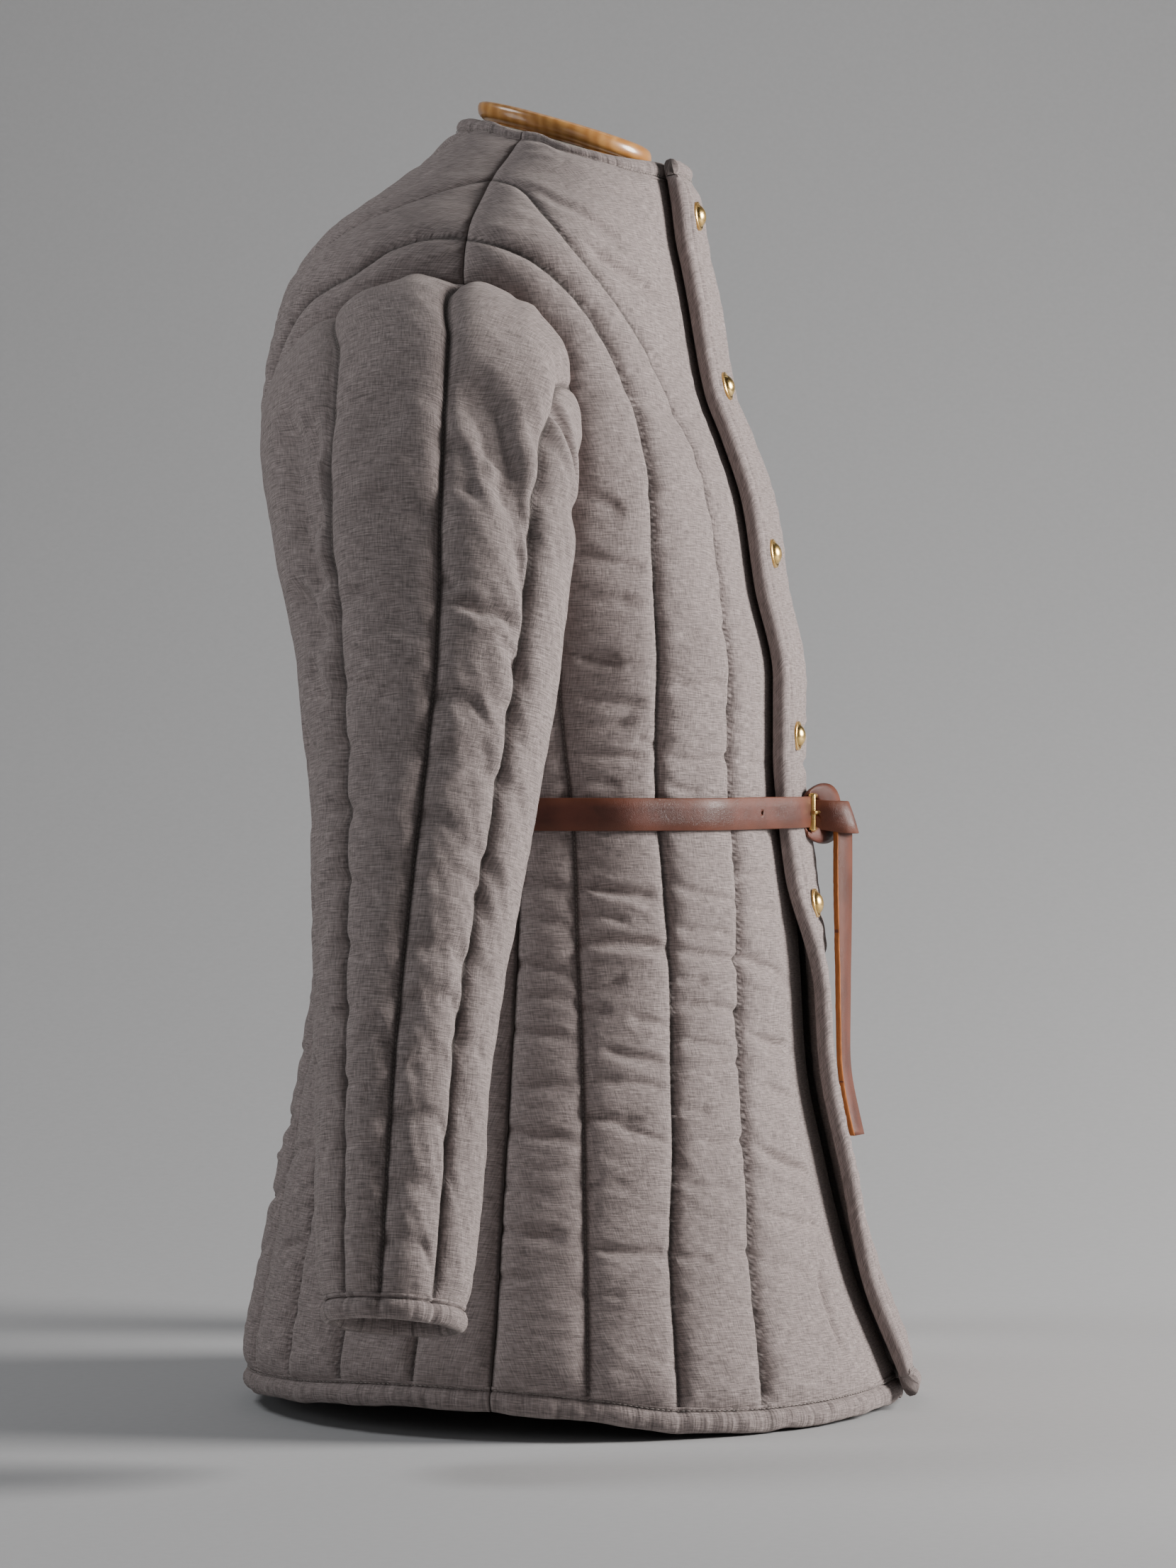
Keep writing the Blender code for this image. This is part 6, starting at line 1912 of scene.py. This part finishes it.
def knot_wrap():
    """The strap beyond the buckle, turned back on itself; its lower edge stands out further."""
    # along the belt and out from it
    bends = [(3.0, 1.5), (4.0, 8), (6, 15), (9.5, 20.5), (14, 23.2), (19, 22.6), (23, 18.5), (25, 12), (25.5, 4)]
    route = smooth_line(bends, np.linspace(0, 1, 46))
    centre, along, up, out = belt_frame(BUCKLE_AT, 0)
    way = np.gradient(route, axis=0)
    way /= np.linalg.norm(way, axis=1, keepdims=True)
    sections = []
    for (away, off), (da, do) in zip(route, way):
        share = float(step(off, 4, 22))
        depth = -along * do + out * da
        low = centre + along * away + out * (off + 4.2 * share) - up * (BELT_WIDTH / 2 + 1.0 + 2.6 * share)
        high = centre + along * away + out * (off - 2.6 * share) + up * (BELT_WIDTH / 2 - 2.0 - 0.8 * share)
        sections.append(strap_ring(low, high, depth, float(np.linalg.norm(high - low))))
    piece = swept("belt_knot_wrap", "belt_knot", sections)
    punch(piece, centre + along * 2 + out * 5.2 - up * 0.8, along)
    return piece


knot_loop()
knot_wrap()

TAIL_TURNS = (math.radians(66), math.radians(82))  # how far its cut edge shows, at its top and at its foot
TAIL_AWAY, TAIL_OUT = 14.0, 18.5  # from the buckle, at its top
TAIL_THICK = 3.8
TAIL_TOP, TAIL_FOOT = 378, 176


def tail_turn(z):
    return TAIL_TURNS[0] + (TAIL_TURNS[1] - TAIL_TURNS[0]) * step(TAIL_TOP - z, 20, 170)


def tail_clear(z):
    """How far its middle stays off the skirt."""
    return 1.6 + 10 * math.cos(tail_turn(z))


def tail():
    """Hanging end: down from the knot, clear of the skirt, with a raw fibrous edge."""
    skirt = mirrored(front_left.outer)
    heights = np.concatenate([np.linspace(TAIL_TOP, 330, 26), np.linspace(326, TAIL_FOOT, 54)])
    centre, along, _, out = belt_frame(BUCKLE_AT, 0)
    centre, along, out = centre[:2], along[:2], out[:2]
    top = centre + along * TAIL_AWAY + out * TAIL_OUT
    beside = (skirt[:, :2] - top) @ along
    reach = (skirt[:, :2] - top) @ out
    near = abs(beside) < 11
    level = [near & (abs(skirt[:, 2] - z) < 6) for z in heights]
    pushes = np.array([max(0.0, reach[which].max() + tail_clear(z)) for which, z in zip(level, heights)])
    for _ in range(12):
        pushes[1:-1] = np.maximum(pushes[1:-1], (pushes[:-2] + pushes[2:]) / 2)
        pushes[1:-1] = 0.5 * pushes[1:-1] + 0.25 * (pushes[:-2] + pushes[2:])
    whole, raw = [], []
    for z, push in zip(heights, pushes):
        sway = tail_turn(z) + 0.05 * math.sin((396 - z) / 52)
        across = out * math.cos(sway) + along * math.sin(sway)
        face = along * math.cos(sway) - out * math.sin(sway)
        half = BELT_WIDTH / 2 - 0.8 + 0.35 * along_noise(z, 14, 811)
        middle = top + out * push
        e = STRAP_EDGE
        fray = 0.3 * along_noise(z, 2.3, 815) + 0.3 * along_noise(z, 6, 816)
        places = [(-half, e), (e - half, 0), (0, 0), (half - e, 0), (half, e), (half, TAIL_THICK - e),
                  (half - e, TAIL_THICK), (0, TAIL_THICK + 0.3), (e - half, TAIL_THICK), (-half, TAIL_THICK - e)]
        frayed, cut_line = -half - 0.35 - fray, -half + 0.5
        edge = [(frayed, 0.35), (cut_line, 0.15), (cut_line, TAIL_THICK - 0.1), (frayed, TAIL_THICK - 0.3)]
        for sections, ring in ((whole, places), (raw, edge)):
            flat = [middle + across * side + face * (depth - TAIL_THICK) for side, depth in ring]
            sections.append([(x, y, z) for x, y in flat])
    swept("belt_tail_leather", "belt_tail", whole)
    swept("belt_tail_cut_edge", "belt_tail", raw, material=RAW_LEATHER)


tail()


# Dress form --------------------------------------------------------------------------------------------------


def form_torso():
    """The padded form: smooth rings, closed at its foot and under the neck cap."""
    heights = np.concatenate([np.linspace(FORM_BOTTOM, 264, 9), np.arange(270, 808, 6.0), [FORM_TOP]])
    columns = [curve(FORM_RINGS[:, 0], FORM_RINGS[:, i], heights) for i in range(1, 6)]
    sections = []
    angle = 2 * math.pi * np.arange(144) / 144
    c, s = np.cos(angle), np.sin(angle)
    for z, half, front, back_y, centre, power in zip(heights, *columns):
        lean = NECK_SLOPE * float(step(z, 752, FORM_TOP))
        depth = np.where(s < 0, centre - front, back_y - centre)
        x = half * np.sign(c) * abs(c) ** (2 / power)
        y = centre + depth * np.sign(s) * abs(s) ** (2 / power)
        sections.append(np.stack([x, y, z + lean * y - 0.4], 1))
    swept("form_body_cloth", "form_torso", sections, material=FORM_CLOTH)


form_torso()


def neck_cap():
    """Turned oval wooden cap with rounded edges, tilted down to the front."""
    middle, depth = (CAP_FRONT + CAP_BACK) / 2, (CAP_BACK - CAP_FRONT) / 2
    deselect()
    bpy.ops.mesh.primitive_cylinder_add(vertices=96, radius=1, depth=1.2 * MM, location=(0, 0, 0.6 * MM))
    obj = named("neck_cap_wood", WOOD)
    obj.scale = (CAP_FOOT * CAP_HALF_WIDTH * MM, CAP_FOOT * depth * MM, 1)
    settle(obj)
    edit(obj)
    pick(obj, lambda centre, normal: normal.z > 0.9)
    turned_up(CAP_FOOT, CAP_PROFILE)
    inset(6, 0.15)
    leave_edit(obj, 50)
    height = (FORM_TOP + NECK_SLOPE * middle - DROP) * MM
    obj.data.transform(Matrix(((1, 0, 0, 0), (0, 1, 0, middle * MM), (0, NECK_SLOPE, 1, height), (0, 0, 0, 1))))
    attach(obj, "root")
    stands_for(obj, "form_neck_cap")


neck_cap()


def stand():
    """Round pole and turned base of the stand."""
    length = FORM_BOTTOM - DROP - POLE_GAP - BASE_THICK - BASE_GAP
    pole = blank("stand_pole", STEEL, 48, POLE_RADIUS, length, BASE_THICK + BASE_GAP)
    pick(pole, lambda centre, normal: abs(normal.z) > 0.9)
    inset(0.8)
    leave_edit(pole, 40)
    foot = BASE_RADIUS - 3
    base = blank("stand_base", STEEL, 96, foot, 1.5)
    pick(base, lambda centre, normal: normal.z > 0.9)
    turned_up(foot, [(BASE_RADIUS + wider, rise) for wider, rise in BASE_PROFILE])
    inset(40, 0.7)
    leave_edit(base, 40)
    for piece, node in ((pole, "form_pole"), (base, "form_base")):
        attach(piece, "root")
        stands_for(piece, node)


stand()


# Cloth sizes -------------------------------------------------------------------------------------------------


def flat_area(outline):
    """Area of a panel's cut in square metres, then its width and length, its length measured up the cloth."""
    x, y = outline.cut[:, 0], up_the_cloth(outline.q, outline.z)
    return abs(float(np.sum(x * np.roll(y, -1) - np.roll(x, -1) * y))) / 2 * MM * MM, np.ptp(x) * MM, np.ptp(y) * MM


RESTS_ON = (
    (front_right, "front_right", "form_body_cloth"),
    (front_left, "front_left", "front_right_cloth"),
    (back, "back", "form_body_cloth"),
)
for panel, node, rests in RESTS_ON:
    area, width, length = flat_area(panel.outline)
for (cloth, tape), side in zip(SLEEVES, ("right", "left")):
    width = float(sleeve_flat[:, -1, 0].max()) * MM
    length = float(sleeve_flat[-1, :, 1].max()) * MM
    ring = sleeve_flat[:, :, 0].max(1)
    area = float(np.sum((ring[1:] + ring[:-1]) / 2 * np.diff(sleeve_flat[:, :, 1].mean(1)))) * MM * MM
for node, (tape, run) in BINDINGS.items():
    side = node.rsplit("_", 1)[1]


# Studio ------------------------------------------------------------------------------------------------------


# From the object towards the camera, and to the camera's right.
VIEW = np.array([-0.9703, -0.2419, 0.0])
SIDE = np.array([0.2419, -0.9703, 0.0])
SWEEP_FRONT, SWEEP_BEND_FROM, SWEEP_BEND, SWEEP_TOP = -3.4, 0.5, 2.6, 5.0
SWEEP_COLUMNS = 9


def studio():
    """A seamless pale sweep: floor, wide curve and wall."""
    profile = [(SWEEP_FRONT, 0.0)]
    for a in np.linspace(0, math.pi / 2, 40):
        profile.append((SWEEP_BEND_FROM + SWEEP_BEND * math.sin(a), SWEEP_BEND - SWEEP_BEND * math.cos(a)))
    profile.append((SWEEP_BEND_FROM + SWEEP_BEND, SWEEP_TOP))
    verts, faces = [], []
    for along, z in profile:
        for across in np.linspace(-4, 4, SWEEP_COLUMNS):
            x, y = -VIEW[:2] * along + SIDE[:2] * across
            verts.append((x, y, z))
    for i in range(len(profile) - 1):
        for a in range(i * SWEEP_COLUMNS, (i + 1) * SWEEP_COLUMNS - 1):
            faces.append((a, a + 1, a + SWEEP_COLUMNS + 1, a + SWEEP_COLUMNS))
    mesh = bpy.data.meshes.new("studio_sweep")
    mesh.from_pydata(verts, [], faces)
    mesh.shade_smooth()
    material, tree, shader = new_material("studio paper", 0.9, Specular_IOR_Level=0.15)
    grain = noise(tree, object_place(tree), (160, 160, 160), 2.0)
    feed(tree, mixed(tree, grain, (0.40, 0.40, 0.405, 1), (0.44, 0.44, 0.445, 1)), shader.inputs["Base Color"])
    bumped(tree, shader, [(grain, 0.3, 0.1)])
    mesh.materials.append(material)
    sweep_piece = bpy.data.objects.new("studio_sweep", mesh)
    bpy.context.scene.collection.objects.link(sweep_piece)


studio()


def soft_light(name, place, target, size, power, colour=(1, 1, 1)):
    data = bpy.data.lights.new(name, "AREA")
    data.shape, data.size, data.energy, data.color = "DISK", size, power, colour
    light = bpy.data.objects.new(name, data)
    light.location = place
    light.rotation_euler = (Vector(target) - Vector(place)).to_track_quat("-Z", "Y").to_euler()
    bpy.context.scene.collection.objects.link(light)


def from_view(towards, right, up):
    return tuple(VIEW * towards + SIDE * right + np.array([0, 0, up]))


soft_light("key", from_view(0.1, 2.42, 1.12), (0, 0, 0.42), 1.1, 140, (1.0, 0.975, 0.95))
soft_light("rim", from_view(0.28, -1.58, 2.33), (0, 0, 0.42), 1.1, 24, (0.96, 0.98, 1.0))
soft_light("left fill", from_view(0.85, -2.33, 0.8), (0, 0, 0.35), 1.3, 10, (0.95, 0.97, 1.0))
soft_light("front fill", from_view(2.8, 0.3, 0.9), (0, 0, 0.4), 1.4, 3.5, (1.0, 1.0, 1.0))
soft_light("backdrop", from_view(-1.2, 0.4, 2.7), tuple(-VIEW * 3.0 + np.array([0, 0, 0.9])), 1.6, 9)

world = bpy.data.worlds.new("studio")
world.use_nodes = True
world.node_tree.nodes["Background"].inputs["Color"].default_value = (0.75, 0.76, 0.78, 1)
world.node_tree.nodes["Background"].inputs["Strength"].default_value = 0.03
bpy.context.scene.world = world

FRAME_WIDTH, FOCAL_LENGTH = 1659, 7040  # in points of the picture
CAMERA_AWAY = 3.2
AIM_HEIGHT, AIM_RIGHT = 0.392, 0.0286
camera_data = bpy.data.cameras.new("camera")
camera_data.sensor_fit, camera_data.sensor_width = "HORIZONTAL", 36
camera_data.lens = FOCAL_LENGTH / FRAME_WIDTH * 36
camera_data.clip_end = 20
camera = bpy.data.objects.new("camera", camera_data)
aim = Vector((0, 0, AIM_HEIGHT)) + AIM_RIGHT * Vector(SIDE)
camera.location = aim + CAMERA_AWAY * Vector(VIEW)
camera.rotation_euler = (-Vector(VIEW)).to_track_quat("-Z", "Y").to_euler()
bpy.context.scene.collection.objects.link(camera)
bpy.context.scene.camera = camera
